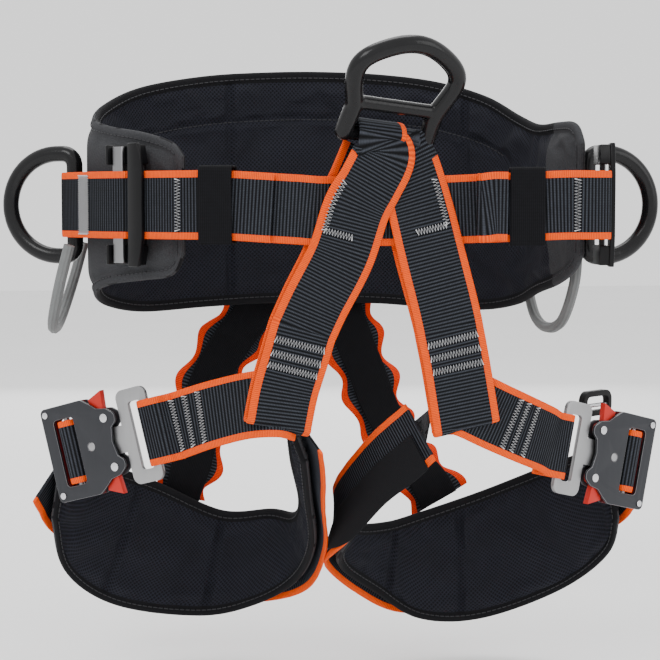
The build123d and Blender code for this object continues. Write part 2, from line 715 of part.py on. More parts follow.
def adjust_strap(side):
    """Webbing round the friction rod, out behind the buckle to the leg pad."""
    plane = buckle_plane(side)
    across = plane.y_dir
    rod = plane.origin + plane.x_dir * ROD_X + plane.z_dir * ROD_Z
    radius = ROD_R + GAP + WEB_THICK / 2
    arc = turn(rod, plane.x_dir, plane.z_dir, radius, -20, 200, 9)
    lead = [(34, -13.5), (26, -11.5), (18.5, -8.0)]
    tail = [(8.5, -9.0), (14.0, -14.0), (25.0, -17.0), (36.0, -19.0)]
    points = [plane.origin + plane.x_dir * x + plane.z_dir * z for x, z in lead]
    points += arc
    points += [plane.origin + plane.x_dir * x + plane.z_dir * z for x, z in tail]
    return strap([(point, across) for point in points], WEB_WIDTH - 1)


# ---- small ladder locks at the outer top of the leg pads ----
def lock_plane(side):
    centre, along = LOCK[side]
    return Plane(origin=centre, x_dir=along, z_dir=along.cross(Vector(0, 0, 1)))


def lock_frame(side):
    length, height, depth = LOCK_FRAME
    outer = extrude(RectangleRounded(length, height, 7.0), depth / 2, both=True)
    window = extrude(RectangleRounded(*LOCK_WINDOW, 3.5), depth, both=True)
    bore = Pos(0, ROLLER_DROP, 0) * Rot(0, 90, 0) * Cylinder(ROLLER_R + PIN_CLEARANCE, length - 3)
    return lock_plane(side) * (outer - window - bore)


def lock_roller(side):
    roller = Rot(0, 90, 0) * Cylinder(ROLLER_R, LOCK_FRAME[0] - 3.4)
    return lock_plane(side) * (Pos(0, ROLLER_DROP, 0) * roller)


def belt_parts(side):
    return {
        f"ring_patch_{side}": ring_patch(side),
        f"keeper_{side}": keeper(side),
        f"adjuster_frame_{side}": adjuster_frame(side),
        f"adjuster_bar_{side}": adjuster_bar(side),
        f"side_ring_{side}": side_ring(side),
        f"gear_loop_{side}": gear_loop(side),
        f"v_strap_upper_{side}": v_strap_upper(side),
    }


def leg_parts(side):
    return {
        f"v_strap_lower_{side}": v_strap_lower(side),
        f"leg_pad_{side}": leg_pad(side),
        f"leg_webbing_{side}": leg_webbing(side),
        f"leg_strap_{side}": leg_strap(side),
        f"rear_webbing_{side}": rear_strap(side, 0.0, WEB_WIDTH, WEB_THICK),
        f"rear_elastic_{side}": rear_strap(side, ELASTIC_OFFSET, ELASTIC_WIDTH, ELASTIC_THICK),
        f"lock_frame_{side}": lock_frame(side),
        f"lock_roller_{side}": lock_roller(side),
    }


def buckle_parts(side):
    """The left plates' Y axis points down, so its upper lever is on the other side."""
    half = SPACER_THICK / 2
    upper = 1 if side == "right" else -1
    return {
        f"tongue_{side}": tongue(side),
        f"buckle_front_{side}": cover_plate(side, half),
        f"buckle_back_{side}": cover_plate(side, -half - PLATE_THICK),
        f"buckle_spacer_{side}": spacer(side),
        f"buckle_rod_{side}": friction_rod(side),
        f"buckle_rivets_{side}": rivets(side),
        f"lever_upper_{side}": lever(side, upper),
        f"lever_lower_{side}": lever(side, -upper),
        f"lever_spring_upper_{side}": lever_spring(side, upper),
        f"lever_spring_lower_{side}": lever_spring(side, -upper),
        f"adjust_strap_{side}": adjust_strap(side),
    }


def all_parts():
    parts = {
        "waist_pad": waist_pad(),
        "belt_webbing": belt_webbing(),
        "front_webbing": front_webbing(),
        "ventral_ring": ventral_ring(),
    }
    for side in ("left", "right"):
        parts.update(belt_parts(side))
        parts.update(leg_parts(side))
        parts.update(buckle_parts(side))
    return parts


os.makedirs("parts", exist_ok=True)
for name, shape in all_parts().items():
    export_step(shape, f"parts/{name}.step")
    print(name, round(shape.volume / 1000, 2), "cm3")
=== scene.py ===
import bpy, math
import numpy as np
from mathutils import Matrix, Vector


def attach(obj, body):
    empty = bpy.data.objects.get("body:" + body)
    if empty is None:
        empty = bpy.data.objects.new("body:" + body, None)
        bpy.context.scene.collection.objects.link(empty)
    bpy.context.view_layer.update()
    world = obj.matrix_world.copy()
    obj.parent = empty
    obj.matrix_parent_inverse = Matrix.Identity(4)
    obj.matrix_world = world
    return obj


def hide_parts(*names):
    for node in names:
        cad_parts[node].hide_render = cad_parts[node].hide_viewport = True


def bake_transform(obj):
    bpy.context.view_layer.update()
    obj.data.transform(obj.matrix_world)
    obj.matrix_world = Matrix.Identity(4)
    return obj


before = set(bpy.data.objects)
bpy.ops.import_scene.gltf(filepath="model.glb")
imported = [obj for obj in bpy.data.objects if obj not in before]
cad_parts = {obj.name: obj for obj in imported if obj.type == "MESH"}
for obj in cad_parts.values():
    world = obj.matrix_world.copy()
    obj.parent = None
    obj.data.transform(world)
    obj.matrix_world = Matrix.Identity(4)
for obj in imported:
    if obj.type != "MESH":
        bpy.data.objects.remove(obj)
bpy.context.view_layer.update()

mm = 0.001
sides = ("left", "right")


def dropSelection():
    bpy.ops.object.select_all(action="DESELECT")


def pick(*pieces):
    dropSelection()
    for piece in pieces:
        piece.select_set(True)
    bpy.context.view_layer.objects.active = pieces[0]


def applyModifier(piece, kind, **settings):
    pick(piece)
    bpy.ops.object.modifier_add(type=kind)
    modifier = piece.modifiers[-1]
    for key, value in settings.items():
        setattr(modifier, key, value)
    bpy.ops.object.modifier_apply(modifier=modifier.name)


def edit(piece, *steps):  # edit-mode operators, each on the whole mesh
    pick(piece)
    bpy.ops.object.mode_set(mode="EDIT")
    for operator, settings in steps:
        bpy.ops.mesh.select_all(action="SELECT")
        getattr(bpy.ops.mesh, operator)(**settings)
    bpy.ops.object.mode_set(mode="OBJECT")


outwardFacing = ("normals_make_consistent", {"inside": False})


def unit(rows):
    rows = np.asarray(rows, float)
    return rows / np.maximum(np.linalg.norm(rows, axis=-1, keepdims=True), 1e-9)


def smoothRun(points, steps):  # a rounded line through given points
    points = np.asarray(points, float)
    ends = np.vstack([points[0] * 2 - points[1], points, points[-1] * 2 - points[-2]])
    rows = []
    for a, b, c, d in zip(ends, ends[1:], ends[2:], ends[3:]):
        for step in range(steps):
            t = step / steps
            square, cube = a * 2 - b * 5 + c * 4 - d, b * 3 - a - c * 3 + d
            rows.append(0.5 * (b * 2 + (c - a) * t + square * t ** 2 + cube * t ** 3))
    return np.array([*rows, points[-1]])


def lengths(points):
    return np.concatenate([[0], np.cumsum(np.linalg.norm(np.diff(points, axis=0), axis=1))])


def spread(rows, at, want):  # rows known at distances at, read at distances want
    return np.stack([np.interp(want, at, rows[:, k]) for k in range(rows.shape[1])], axis=1)


def gridPiece(name, points, mapName=None, mapGrid=None):  # a primitive grid laid over rows of points
    columns, rows = points.shape[0] - 1, points.shape[1] - 1
    bpy.ops.mesh.primitive_grid_add(x_subdivisions=columns, y_subdivisions=rows, size=1)
    piece = bpy.context.object
    piece.name = name
    flat = np.empty(len(piece.data.vertices) * 3)
    piece.data.vertices.foreach_get("co", flat)
    flat = flat.reshape(-1, 3)
    i = np.rint((flat[:, 0] + 0.5) * columns).astype(int)
    j = np.rint((flat[:, 1] + 0.5) * rows).astype(int)
    piece.data.vertices.foreach_set("co", points[i, j].ravel())
    if mapGrid is not None:
        uv = piece.data.uv_layers[0]
        uv.name = mapName
        corner = np.empty(len(piece.data.loops), dtype=np.int32)
        piece.data.loops.foreach_get("vertex_index", corner)
        uv.data.foreach_set("uv", mapGrid[i, j][corner].ravel())
    return piece, i, j


def finish(piece, material, body, slot, *nodes):
    if material is not None:
        piece.data.materials.clear()
        piece.data.materials.append(material)
    if nodes:
        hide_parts(*nodes)
    if body:
        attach(piece, body)
    return piece


class Value:
    def __init__(self, maker, socket):
        self.maker = maker
        self.socket = socket

    def maths(self, operation, *others):
        return self.maker.node("ShaderNodeMath", {"operation": operation}, dict(enumerate((self, *others))))

    def __add__(self, other):
        return self.maths("ADD", other)

    def __radd__(self, other):
        return self.maths("ADD", other)

    def __sub__(self, other):
        return self.maths("SUBTRACT", other)

    def __rsub__(self, other):
        return self.maker.node("ShaderNodeMath", {"operation": "SUBTRACT"}, {0: other, 1: self})

    def __mul__(self, other):
        return self.maths("MULTIPLY", other)

    def __rmul__(self, other):
        return self.maths("MULTIPLY", other)

    def __gt__(self, other):
        return self.maths("GREATER_THAN", other)

    def __lt__(self, other):
        return self.maths("LESS_THAN", other)

    def wave(self):  # 0 to 1 and back for each 2 pi
        return self.maths("SINE") * 0.5 + 0.5


class Surface:
    def __init__(self, name, **constants):
        self.material = bpy.data.materials.new(name)
        self.material.use_nodes = True
        self.tree = self.material.node_tree
        self.shader = self.tree.nodes["Principled BSDF"]
        for key, value in constants.items():
            self.shader.inputs[key.replace("_", " ")].default_value = value

    def node(self, kind, settings=None, inputs=None, out=0):
        made = self.tree.nodes.new(kind)
        for key, value in (settings or {}).items():
            if key == "stops":
                for element, (place, colour) in zip(made.color_ramp.elements, value):
                    element.position = place
                    element.color = colour
            else:
                setattr(made, key, value)
        for key, value in (inputs or {}).items():
            self.feed(made.inputs[key], value)
        return Value(self, made.outputs[out])

    def feed(self, socket, value):
        if isinstance(value, Value):
            self.tree.links.new(value.socket, socket)
        else:
            socket.default_value = value

    def set(self, name, value):
        self.feed(self.shader.inputs[name], value)

    def place(self, scale=1.0):
        coordinates = self.node("ShaderNodeTexCoord", out=3)
        return self.node("ShaderNodeMapping", inputs={0: coordinates, 3: (scale, scale, scale)})

    def across(self, mapName):  # the two numbers of a piece's own map
        uv = self.node("ShaderNodeUVMap", {"uv_map": mapName})
        split = self.node("ShaderNodeSeparateXYZ", inputs={0: uv})
        return split, Value(self, split.socket.node.outputs[1]), uv

    def noise(self, vector, scale, detail=3.0, rough=0.55):
        inputs = {"Vector": vector, "Scale": scale, "Detail": detail, "Roughness": rough}
        return self.node("ShaderNodeTexNoise", inputs=inputs)

    def mix(self, share, first, second):
        return self.node("ShaderNodeMix", {"data_type": "RGBA"}, {0: share, 6: first, 7: second}, out=2)

    def bump(self, height, strength, distance):
        inputs = {"Height": height, "Strength": strength, "Distance": distance}
        self.set("Normal", self.node("ShaderNodeBump", inputs=inputs))


def rgb(r, g, b):
    return (r, g, b, 1.0)


webbingLook = {
    "ribPitch": 0.0023, "threadPitch": 0.0011, "edge": 0.0179,
    "groove": rgb(0.0008, 0.0008, 0.0012), "ridge": rgb(0.052, 0.058, 0.072),
    "orange": rgb(1.0, 0.108, 0.002), "orangeDeep": rgb(0.42, 0.022, 0.0),
}


def webbingSurface(name, look):
    made = Surface(name, Specular_IOR_Level=0.10)
    along, over, uv = made.across("strapMap")
    rib = (along * (2 * math.pi / look["ribPitch"])).wave().maths("POWER", 1.6)
    fineRib = (along * (4 * math.pi / look["ribPitch"])).wave()
    thread = (over * (2 * math.pi / look["threadPitch"])).wave()
    side = over.maths("ABSOLUTE") > look["edge"]
    wear = made.noise(uv, 260.0)
    fade = made.noise(uv, 38.0, 2.0)
    body = made.mix(rib * (0.55 + thread * 0.45) * (0.55 + wear * 0.8), look["groove"], look["ridge"])
    body = made.mix(fade * 0.06, body, rgb(0.07, 0.075, 0.085))
    rim = made.mix((0.35 + fineRib * 0.65) * (0.6 + wear * 0.6), look["orangeDeep"], look["orange"])
    made.set("Base Color", made.mix(side, body, rim))
    made.set("Roughness", 0.62 + wear * 0.25)
    height = rib * (1 - side) * 0.6 + thread * 0.35 + fineRib * side * 0.5
    made.bump(height, 0.55, 0.0004)
    return made.material


def meshSurface(name):
    made = Surface(name, Specular_IOR_Level=0.2)
    along, over, uv = made.across("padMap")
    rising = ((along + over) * (2 * math.pi / 0.0031)).wave()
    falling = ((along - over) * (2 * math.pi / 0.0031)).wave()
    wall = 1 - (rising * falling).maths("POWER", 0.55)
    dust = made.noise(uv, 55.0)
    tone = made.mix(wall * (0.55 + dust * 0.7), rgb(0.0002, 0.0002, 0.0005), rgb(0.016, 0.017, 0.026))
    made.set("Base Color", tone)
    made.set("Roughness", 0.78 + dust * 0.15)
    made.bump(wall, 0.6, 0.0005)
    return made.material


def fabricSurface(name, dark, light, pitch, mapName="padMap"):  # fine woven cover cloth, flecked
    made = Surface(name, Specular_IOR_Level=0.2)
    along, over, uv = made.across(mapName)
    warp = (along * (2 * math.pi / pitch)).wave()
    weft = (over * (2 * math.pi / pitch)).wave()
    fleck = made.noise(uv, 900.0, 2.0, 0.7)
    cloud = made.noise(uv, 30.0)
    made.set("Base Color", made.mix(fleck * 0.75 + warp * weft * 0.2 + cloud * 0.15 - 0.2, dark, light))
    made.set("Roughness", 0.76 + fleck * 0.2)
    made.bump(warp * 0.5 + weft * 0.5 + fleck * 0.5, 0.35, 0.0003)
    return made.material


def elasticSurface(name):
    made = Surface(name, Roughness=0.9, Specular_IOR_Level=0.15)
    along, over, uv = made.across("strapMap")
    column = (over * (2 * math.pi / 0.0013)).wave()
    row = (along * (2 * math.pi / 0.0009)).wave()
    dust = made.noise(uv, 140.0)
    knit = column * row * 0.8 + dust * 0.2
    made.set("Base Color", made.mix(knit, rgb(0.001, 0.001, 0.0014), rgb(0.012, 0.012, 0.015)))
    made.bump(column * 0.6 + row * 0.4, 0.4, 0.0003)
    return made.material


def threadSurface(name, dark, light):
    made = Surface(name, Roughness=0.6, Specular_IOR_Level=0.3)
    point = made.place()
    twist = made.noise(point, 1600.0, 2.0)
    made.set("Base Color", made.mix(twist, dark, light))
    made.bump(twist, 0.3, 0.0002)
    return made.material


def metalSurface(name, colour, worn, rough, metallic, grain=(1, 1, 1), shine=0.18):
    made = Surface(name, Metallic=metallic, Specular_IOR_Level=shine if metallic == 0.0 else 0.5)
    point = made.place()
    stretched = made.node("ShaderNodeMapping", inputs={0: point, 3: grain})
    brush = made.noise(stretched, 240.0, 4.0, 0.6)
    smudge = made.noise(point, 35.0, 3.0)
    made.set("Base Color", made.mix(brush * 0.35 + smudge * 0.25, colour, worn))
    made.set("Roughness", rough + smudge * 0.14 + brush * 0.06 - 0.08)
    made.bump(brush, 0.08, 0.0003)
    return made.material


webbing = webbingSurface("webbingDark", webbingLook)
# a darker, redder copy of the webbing colours for the rear straps: painted shade on the same webbing as in
# front
shadedRearLook = {**webbingLook, "orange": rgb(0.86, 0.050, 0.0), "orangeDeep": rgb(0.30, 0.006, 0.0)}
shadedRearWebbing = webbingSurface("webbingRearShaded", shadedRearLook)
lining = meshSurface("spacerMesh")
blackCloth = (rgb(0.0015, 0.0015, 0.002), rgb(0.010, 0.010, 0.013), 0.0011)  # dark, light, pitch
borderCloth = fabricSurface("borderCloth", *blackCloth)
flapCloth = fabricSurface("flapCloth", rgb(0.008, 0.008, 0.009), rgb(0.092, 0.094, 0.102), 0.0009)
coverCloth = fabricSurface("coverCloth", *blackCloth, "strapMap")
elastic = elasticSurface("knitElastic")
paleThread = threadSurface("paleThread", rgb(0.34, 0.34, 0.35), rgb(0.66, 0.66, 0.67))
darkThread = threadSurface("darkThread", rgb(0.010, 0.010, 0.012), rgb(0.045, 0.045, 0.050))
blackRing = metalSurface(
    "blackRing", rgb(0.004, 0.004, 0.0045), rgb(0.013, 0.013, 0.014), 0.19, 0.0, shine=0.24)
blackPlate = metalSurface("blackAdjuster", rgb(0.002, 0.002, 0.0025), rgb(0.008, 0.008, 0.009), 0.32, 0.0)
satinSteel = metalSurface(
    "satinSteel", rgb(0.30, 0.30, 0.305), rgb(0.46, 0.46, 0.465), 0.36, 1.0, (1, 1, 0.12))
barSteel = metalSurface("barSteel", rgb(0.16, 0.16, 0.165), rgb(0.42, 0.42, 0.43), 0.30, 1.0, (9, 9, 0.05))
brightSteel = metalSurface("brightSteel", rgb(0.60, 0.60, 0.62), rgb(0.78, 0.78, 0.80), 0.24, 1.0)
greyPlate = metalSurface(
    "greyAnodised", rgb(0.020, 0.021, 0.025), rgb(0.042, 0.044, 0.050), 0.40, 0.5, (1, 1, 0.2))
wornEdge = metalSurface("wornEdge", rgb(0.16, 0.16, 0.17), rgb(0.34, 0.34, 0.35), 0.32, 0.8)
redLever = metalSurface("redAnodised", rgb(0.46, 0.012, 0.006), rgb(0.60, 0.028, 0.014), 0.38, 0.4)
deepRed = metalSurface("deepRedSpacer", rgb(0.09, 0.003, 0.005), rgb(0.15, 0.008, 0.010), 0.42, 0.3)
mattBlack = metalSurface("mattBlackPlastic", rgb(0.003, 0.003, 0.0035), rgb(0.012, 0.012, 0.013), 0.50, 0.0)
loopGrey = metalSurface("loopGrey", rgb(0.12, 0.125, 0.125), rgb(0.22, 0.225, 0.225), 0.55, 0.0)
print("surfaces made")


class Route:
    def __init__(self, stations, width, spacing=0.00115):
        centre = smoothRun([s[0] for s in stations], 14) * mm
        over = unit(smoothRun([unit(s[1]) for s in stations], 14))
        wide = smoothRun([[s[2] if len(s) > 2 else width] for s in stations], 14) * mm
        at = lengths(centre)
        self.length = at[-1]
        self.count = max(8, int(self.length / spacing))
        self.want = np.linspace(0, self.length, self.count + 1)
        self.centre = spread(centre, at, self.want)
        self.wide = spread(wide, at, self.want)
        ahead = unit(np.gradient(self.centre, axis=0))
        over = spread(over, at, self.want)
        self.over = unit(over - ahead * np.sum(over * ahead, axis=1, keepdims=True))
        self.facing = np.cross(ahead, self.over)

    def at(self, along, over, lift):
        centre, aside, raised = (self.read(rows, along) for rows in (self.centre, self.over, self.facing))
        return centre + aside * over + raised * lift

    def read(self, rows, along):
        return np.array([np.interp(along, self.want, rows[:, k]) for k in range(3)])

    def near(self, point):  # distance along, and over, of the nearest place on the strap
        point = np.asarray(point, float) * mm
        index = int(np.argmin(np.linalg.norm(self.centre - point, axis=1)))
        return self.want[index], float(np.dot(point - self.centre[index], self.over[index]))


webWidth, webThick = 45, 2.2
stitchLook = {"swing": 4.2, "pitch": 1.9, "lift": 1.5, "reach": 17.4}
strapColumns = [-1, -0.975, -0.9, -0.8, -0.78, -0.5, -0.2, 0.2, 0.5, 0.78, 0.8, 0.9, 0.975, 1]


def weaveStrap(name, route, thick, ruffle=None, ribs=True, plain=None):
    along, over = route.want[:, None], np.array(strapColumns)[None, :]
    placed = route.centre[:, None] + route.over[:, None] * (over * route.wide / 2)[..., None]
    if ruffle is not None:
        lift, aside = ruffle(along, over)
        placed = placed + route.facing[:, None] * lift[..., None] + route.over[:, None] * aside[..., None]
    seen = over * route.wide.max() / 2 + along * 0
    if plain is not None:  # the gathered start of a strap hides its coloured edges
        until, edges = plain
        seen = np.where((along < until) & np.isin(np.sign(over), edges), seen * 0.76, seen)
    strip, step, column = gridPiece(name, placed, "strapMap", np.stack([along + over * 0, seen], axis=2))
    over = over[0, column]
    group = strip.vertex_groups.new(name="thick")
    level = np.where(np.abs(over) > 0.99, 0.45, np.where(np.abs(over) > 0.96, 0.8, 0.92))
    if ribs:
        lift = np.where(step % 2 == 0, 1.0, 0.72)
        rim = np.where(step % 2 == 0, 0.97, 0.88)
        level = np.where(np.abs(over) < 0.79, lift, np.where(np.abs(over) > 0.96, level, rim))
    for weight in np.unique(level):
        group.add([int(k) for k in np.nonzero(level == weight)[0]], float(weight), "REPLACE")
    wall = {"thickness": thick * mm, "offset": 0, "vertex_group": "thick", "use_even_offset": False}
    applyModifier(strip, "SOLIDIFY", **wall)
    strip.vertex_groups.clear()
    pick(strip)
    bpy.ops.object.shade_smooth_by_angle(angle=math.radians(70))
    return strip


def threadRows(name, rows, radius=0.48):  # each row is a list of points in metres
    curve = bpy.data.curves.new(name, "CURVE")
    curve.dimensions = "3D"
    curve.bevel_depth = radius * mm
    curve.bevel_resolution = 1
    curve.use_fill_caps = True
    for row in rows:
        spline = curve.splines.new("POLY")
        spline.points.add(len(row) - 1)
        spline.points.foreach_set("co", np.hstack([np.array(row), np.ones((len(row), 1))]).ravel())
    line = bpy.data.objects.new(name, curve)
    bpy.context.collection.objects.link(line)
    pick(line)
    bpy.ops.object.convert(target="MESH")
    line = bpy.context.object
    bpy.ops.object.shade_smooth()
    return line


def zigzag(route, first, last, swing, pitch, lift):  # a wide sewn zigzag between two places on a strap
    first, last = np.array(first) * mm, np.array(last) * mm
    run = np.linalg.norm(last - first)
    direction = (last - first) / run
    aside = np.array([-direction[1], direction[0]])
    count = int(run / (pitch * mm)) * 2
    points = []
    for index in range(count + 1):
        place = first + direction * run * index / count + aside * (swing * mm * (0.5 if index % 2 else -0.5))
        points.append(route.at(place[0], place[1], lift * mm))
    return points


def dashes(points, stitch, gap):  # separate short stitches along a line of points
    at = lengths(points)
    rows = []
    start = 0.0
    while start + stitch * mm < at[-1]:
        want = np.linspace(start, start + stitch * mm, 4)
        rows.append(spread(points, at, want))
        start += (stitch + gap) * mm
    return rows


waistLine = [  # x, y, lowest and highest z, from the left flap round the back to the right flap
    (-110, -70, -32, 32), (-117, -61, -47, 42), (-134, -41, -51, 49), (-155, -13, -55, 54),
    (-164, 16, -62, 60), (-156, 52, -73, 72), (-127, 86, -80, 87), (-78, 106, -78, 97),
    (-30, 114, -76, 101), (14, 115, -76, 102), (60, 109, -77, 100), (100, 94, -80, 94),
    (131, 66, -80, 82), (147, 30, -74, 66), (152, -5, -64, 58),
    (155, -45, -56, 58), (157, -74, -46, 56), (158, -88, -34, 42),
]
waistRun = smoothRun([(x, y, 0) for x, y, low, high in waistLine], 4)
waistAt = lengths(waistRun)
ringStation = {"left": 0.180, "right": 0.955}
padOffset, wrapOffset = 7.4, 21.9  # webbing on the pad, webbing round a side ring


def beside(fraction, offset, height=0.0):
    target = fraction * waistAt[-1]
    index = int(np.searchsorted(waistAt, target, side="right")) - 1
    index = min(index, len(waistRun) - 2)
    share = (target - waistAt[index]) / (waistAt[index + 1] - waistAt[index])
    along = unit(waistRun[index + 1] - waistRun[index])
    outward = np.array([-along[1], along[0], 0])
    point = waistRun[index] * (1 - share) + waistRun[index + 1] * share
    return point + outward * offset + (0, 0, height), outward, along


def arc(centre, start, towards, radius, first, last, count):
    centre, start, towards = (np.array(v, float) for v in (centre, start, towards))
    angles = np.radians(np.linspace(first, last, count))
    return [centre + start * radius * math.cos(a) + towards * radius * math.sin(a) for a in angles]


seamSteps = np.array([-5.0, -2.2, 0.0, 2.2, 5.0])  # close places on both sides of a sewn line


def edgeSteps(length, middle, inset=None):  # places from edge to edge, close together near edges and seams
    near = np.array([0, 0.7, 2.2, 4.6, 7.0, 8.2, 10.2, 13.0, 17.0])
    length = length / mm
    inner = np.linspace(near[-1], length - near[-1], middle + 2)[1:-1]
    if inset is not None:
        seam = length - inset
        above = max(2, middle // 4)
        below = middle - above
        low = np.linspace(near[-1], seam - 7, below + 1)[1:]
        high = np.linspace(seam + 7, length - near[-1], above + 1)[:-1]
        inner = [*low, *(seam + seamSteps), *high]
    return np.array([*near, *inner, *(length - near[::-1])]) * mm


class Pad:
    def __init__(self, tops, bottoms, look):
        upper = smoothRun(tops, 12) * mm
        lower = smoothRun(bottoms, 12) * mm
        middle = (upper + lower) / 2
        at = lengths(middle)
        self.stationAt = at[::12]
        self.total = at[-1]
        self.look = look
        self.crosses = [np.interp(s, range(len(self.stationAt)), self.stationAt) for s in look["crossSeams"]]
        seams = [place + seamSteps * mm for place in self.crosses]
        self.along = np.unique(np.concatenate([edgeSteps(self.total, look["columns"]), *seams]))
        self.upper, self.lower = spread(upper, at, self.along), spread(lower, at, self.along)
        ahead = unit(np.gradient((self.upper + self.lower) / 2, axis=0))
        self.rise = self.upper - self.lower
        self.height = np.linalg.norm(self.rise, axis=1)
        self.normal = unit(np.cross(ahead, self.rise)) * look["outward"]
        inset = look["longSeams"][0][0] if look["longSeams"] else None
        self.ups = np.array([edgeSteps(height, look["rows"], inset) for height in self.height])

    def half(self, toEnd, toTop, toBottom, along):
        look = self.look
        near = np.minimum(np.minimum(toTop, toBottom), toEnd) / mm
        bound = look["bound"] * np.sqrt(np.clip(1 - (1 - np.clip(near / look["bound"], 0, 1)) ** 2, 0, 1))
        rise = np.clip((near - 8) / 11, 0, 1)
        thick = np.where(near < 7.4, bound, 1.7 + (look["half"] - 1.7) * (rise * (2 - rise)))
        for place in self.crosses:
            dip = np.exp(-((along - place) / (3.2 * mm)) ** 2) * (near > 7.4)
            thick = thick * (1 - look["seamDepth"] * dip)
        for inset, first, last in look["longSeams"]:
            inside = (along > first * self.total) & (along < last * self.total)
            thick = thick * (1 - look["seamDepth"] * np.exp(-((toTop / mm - inset) / 3.2) ** 2) * inside)
        return thick * mm

    def surface(self, side):  # all the points of one face and how near each is to a sewn line
        rows = []
        fixed = []
        nearEdge = []
        for index, along in enumerate(self.along):
            steps = self.ups[index]
            share = (steps / self.height[index])[:, None]
            toEnd = min(along, self.total - along)
            toTop = self.height[index] - steps
            thick = self.half(toEnd, toTop, steps, along)
            middle = self.lower[index] + self.rise[index] * share
            rows.append(middle + self.normal[index] * side * thick[:, None])
            near = np.minimum(np.minimum(toTop, steps), toEnd)
            sewn = near < 8.8 * mm
            for place in self.crosses:
                sewn |= abs(along - place) < 2.4 * mm
            for inset, first, last in self.look["longSeams"]:
                if first * self.total < along < last * self.total:
                    sewn |= np.abs(toTop / mm - inset) < 2.2
            fixed.append(sewn)
            nearEdge.append(near)
        return np.array(rows), np.array(fixed), np.array(nearEdge)

    def lifted(self, side, index, up, along, lift):  # one place on a face, raised off it
        down = np.array([self.height[index] - up])
        thick = float(self.half(min(along, self.total - along), down, np.array([up]), along)[0])
        place = self.lower[index] + self.rise[index] * (up / self.height[index])
        return place + self.normal[index] * side * (thick + lift * mm)

    def edgeLine(self, side, fromTop=None, fromBottom=None, lift=0.4):  # a line parallel to an edge
        points = []
        for index, along in enumerate(self.along):
            if min(along, self.total - along) < 5.5 * mm:
                continue
            down = fromTop * mm if fromTop is not None else self.height[index] - fromBottom * mm
            points.append(self.lifted(side, index, self.height[index] - down, along, lift))
        return np.array(points)

    def crossLine(self, side, place, lift=0.4, ends=8):  # a line from the bottom edge to the top edge
        points = []
        index = int(np.argmin(np.abs(self.along - place)))
        for up in np.linspace(ends * mm, self.height[index] - ends * mm, 40):
            points.append(self.lifted(side, index, up, place, lift))
        return np.array(points)


def padFace(pad, side, name):
    points, fixed, near = pad.surface(side)
    grid = np.stack([np.broadcast_to(pad.along[:, None], pad.ups.shape), pad.ups], axis=2)
    face, i, j = gridPiece(name, points, "padMap", grid)
    flap = (pad.along[i] > pad.look["flapFrom"] * pad.total).astype(float)
    marks = {"sewn": fixed[i, j].astype(float), "side": np.full(len(i), float(side > 0))}
    marks.update({"near": np.clip(near[i, j] / (20 * mm), 0, 1), "flap": flap})
    for key, values in marks.items():
        attribute = face.data.attributes.new(key, "FLOAT", "POINT")
        attribute.data.foreach_set("value", values.astype(np.float32))
    if side * pad.look["outward"] < 0:
        edit(face, ("flip_normals", {}))
    return face


def read(mesh, key):
    values = np.empty(len(mesh.vertices), dtype=np.float32)
    mesh.attributes[key].data.foreach_get("value", values)
    return values


clothLook = {
    "quality": 4, "mass": 0.25, "tension_stiffness": 12, "compression_stiffness": 8, "bending_stiffness": 0.4,
}
swellFrames = 20


def swell(piece, look):  # cloth with air in it, held along the sewn lines
    rest = np.empty(len(piece.data.vertices) * 3)
    piece.data.vertices.foreach_get("co", rest)
    rest = rest.reshape(-1, 3)
    sewn = read(piece.data, "sewn")
    side = read(piece.data, "side")
    group = piece.vertex_groups.new(name="sewn")
    group.add([int(k) for k in np.nonzero(sewn > 0.5)[0]], 1.0, "REPLACE")
    pick(piece)
    bpy.ops.object.modifier_add(type="CLOTH")
    cloth = piece.modifiers[-1]
    for key, value in clothLook.items():
        setattr(cloth.settings, key, value)
    cloth.settings.use_pressure = True
    cloth.settings.uniform_pressure_force = look["pressure"]
    cloth.settings.vertex_group_mass = "sewn"
    cloth.settings.effector_weights.gravity = 0
    cloth.settings.shrink_min = -look["slack"]
    cloth.collision_settings.use_collision = False
    scene = bpy.context.scene
    for step in range(1, swellFrames + 1):
        scene.frame_set(step)
    shape = piece.evaluated_get(bpy.context.evaluated_depsgraph_get()).data
    moved = np.empty(len(shape.vertices) * 3)
    shape.vertices.foreach_get("co", moved)
    moved = moved.reshape(-1, 3)
    piece.modifiers.remove(cloth)
    scene.frame_set(1)
    step = moved - rest
    size = np.linalg.norm(step, axis=1, keepdims=True)
    cap = np.where(side > 0.5, look["capOut"], look["capIn"])[:, None] * mm
    step *= cap * np.tanh(size / cap) / np.maximum(size, 1e-9)
    print(piece.name, "swelled by up to", round(float(size.max()) * 1000, 1), "mm")
    piece.data.vertices.foreach_set("co", (rest + step).ravel())
    piece.vertex_groups.clear()


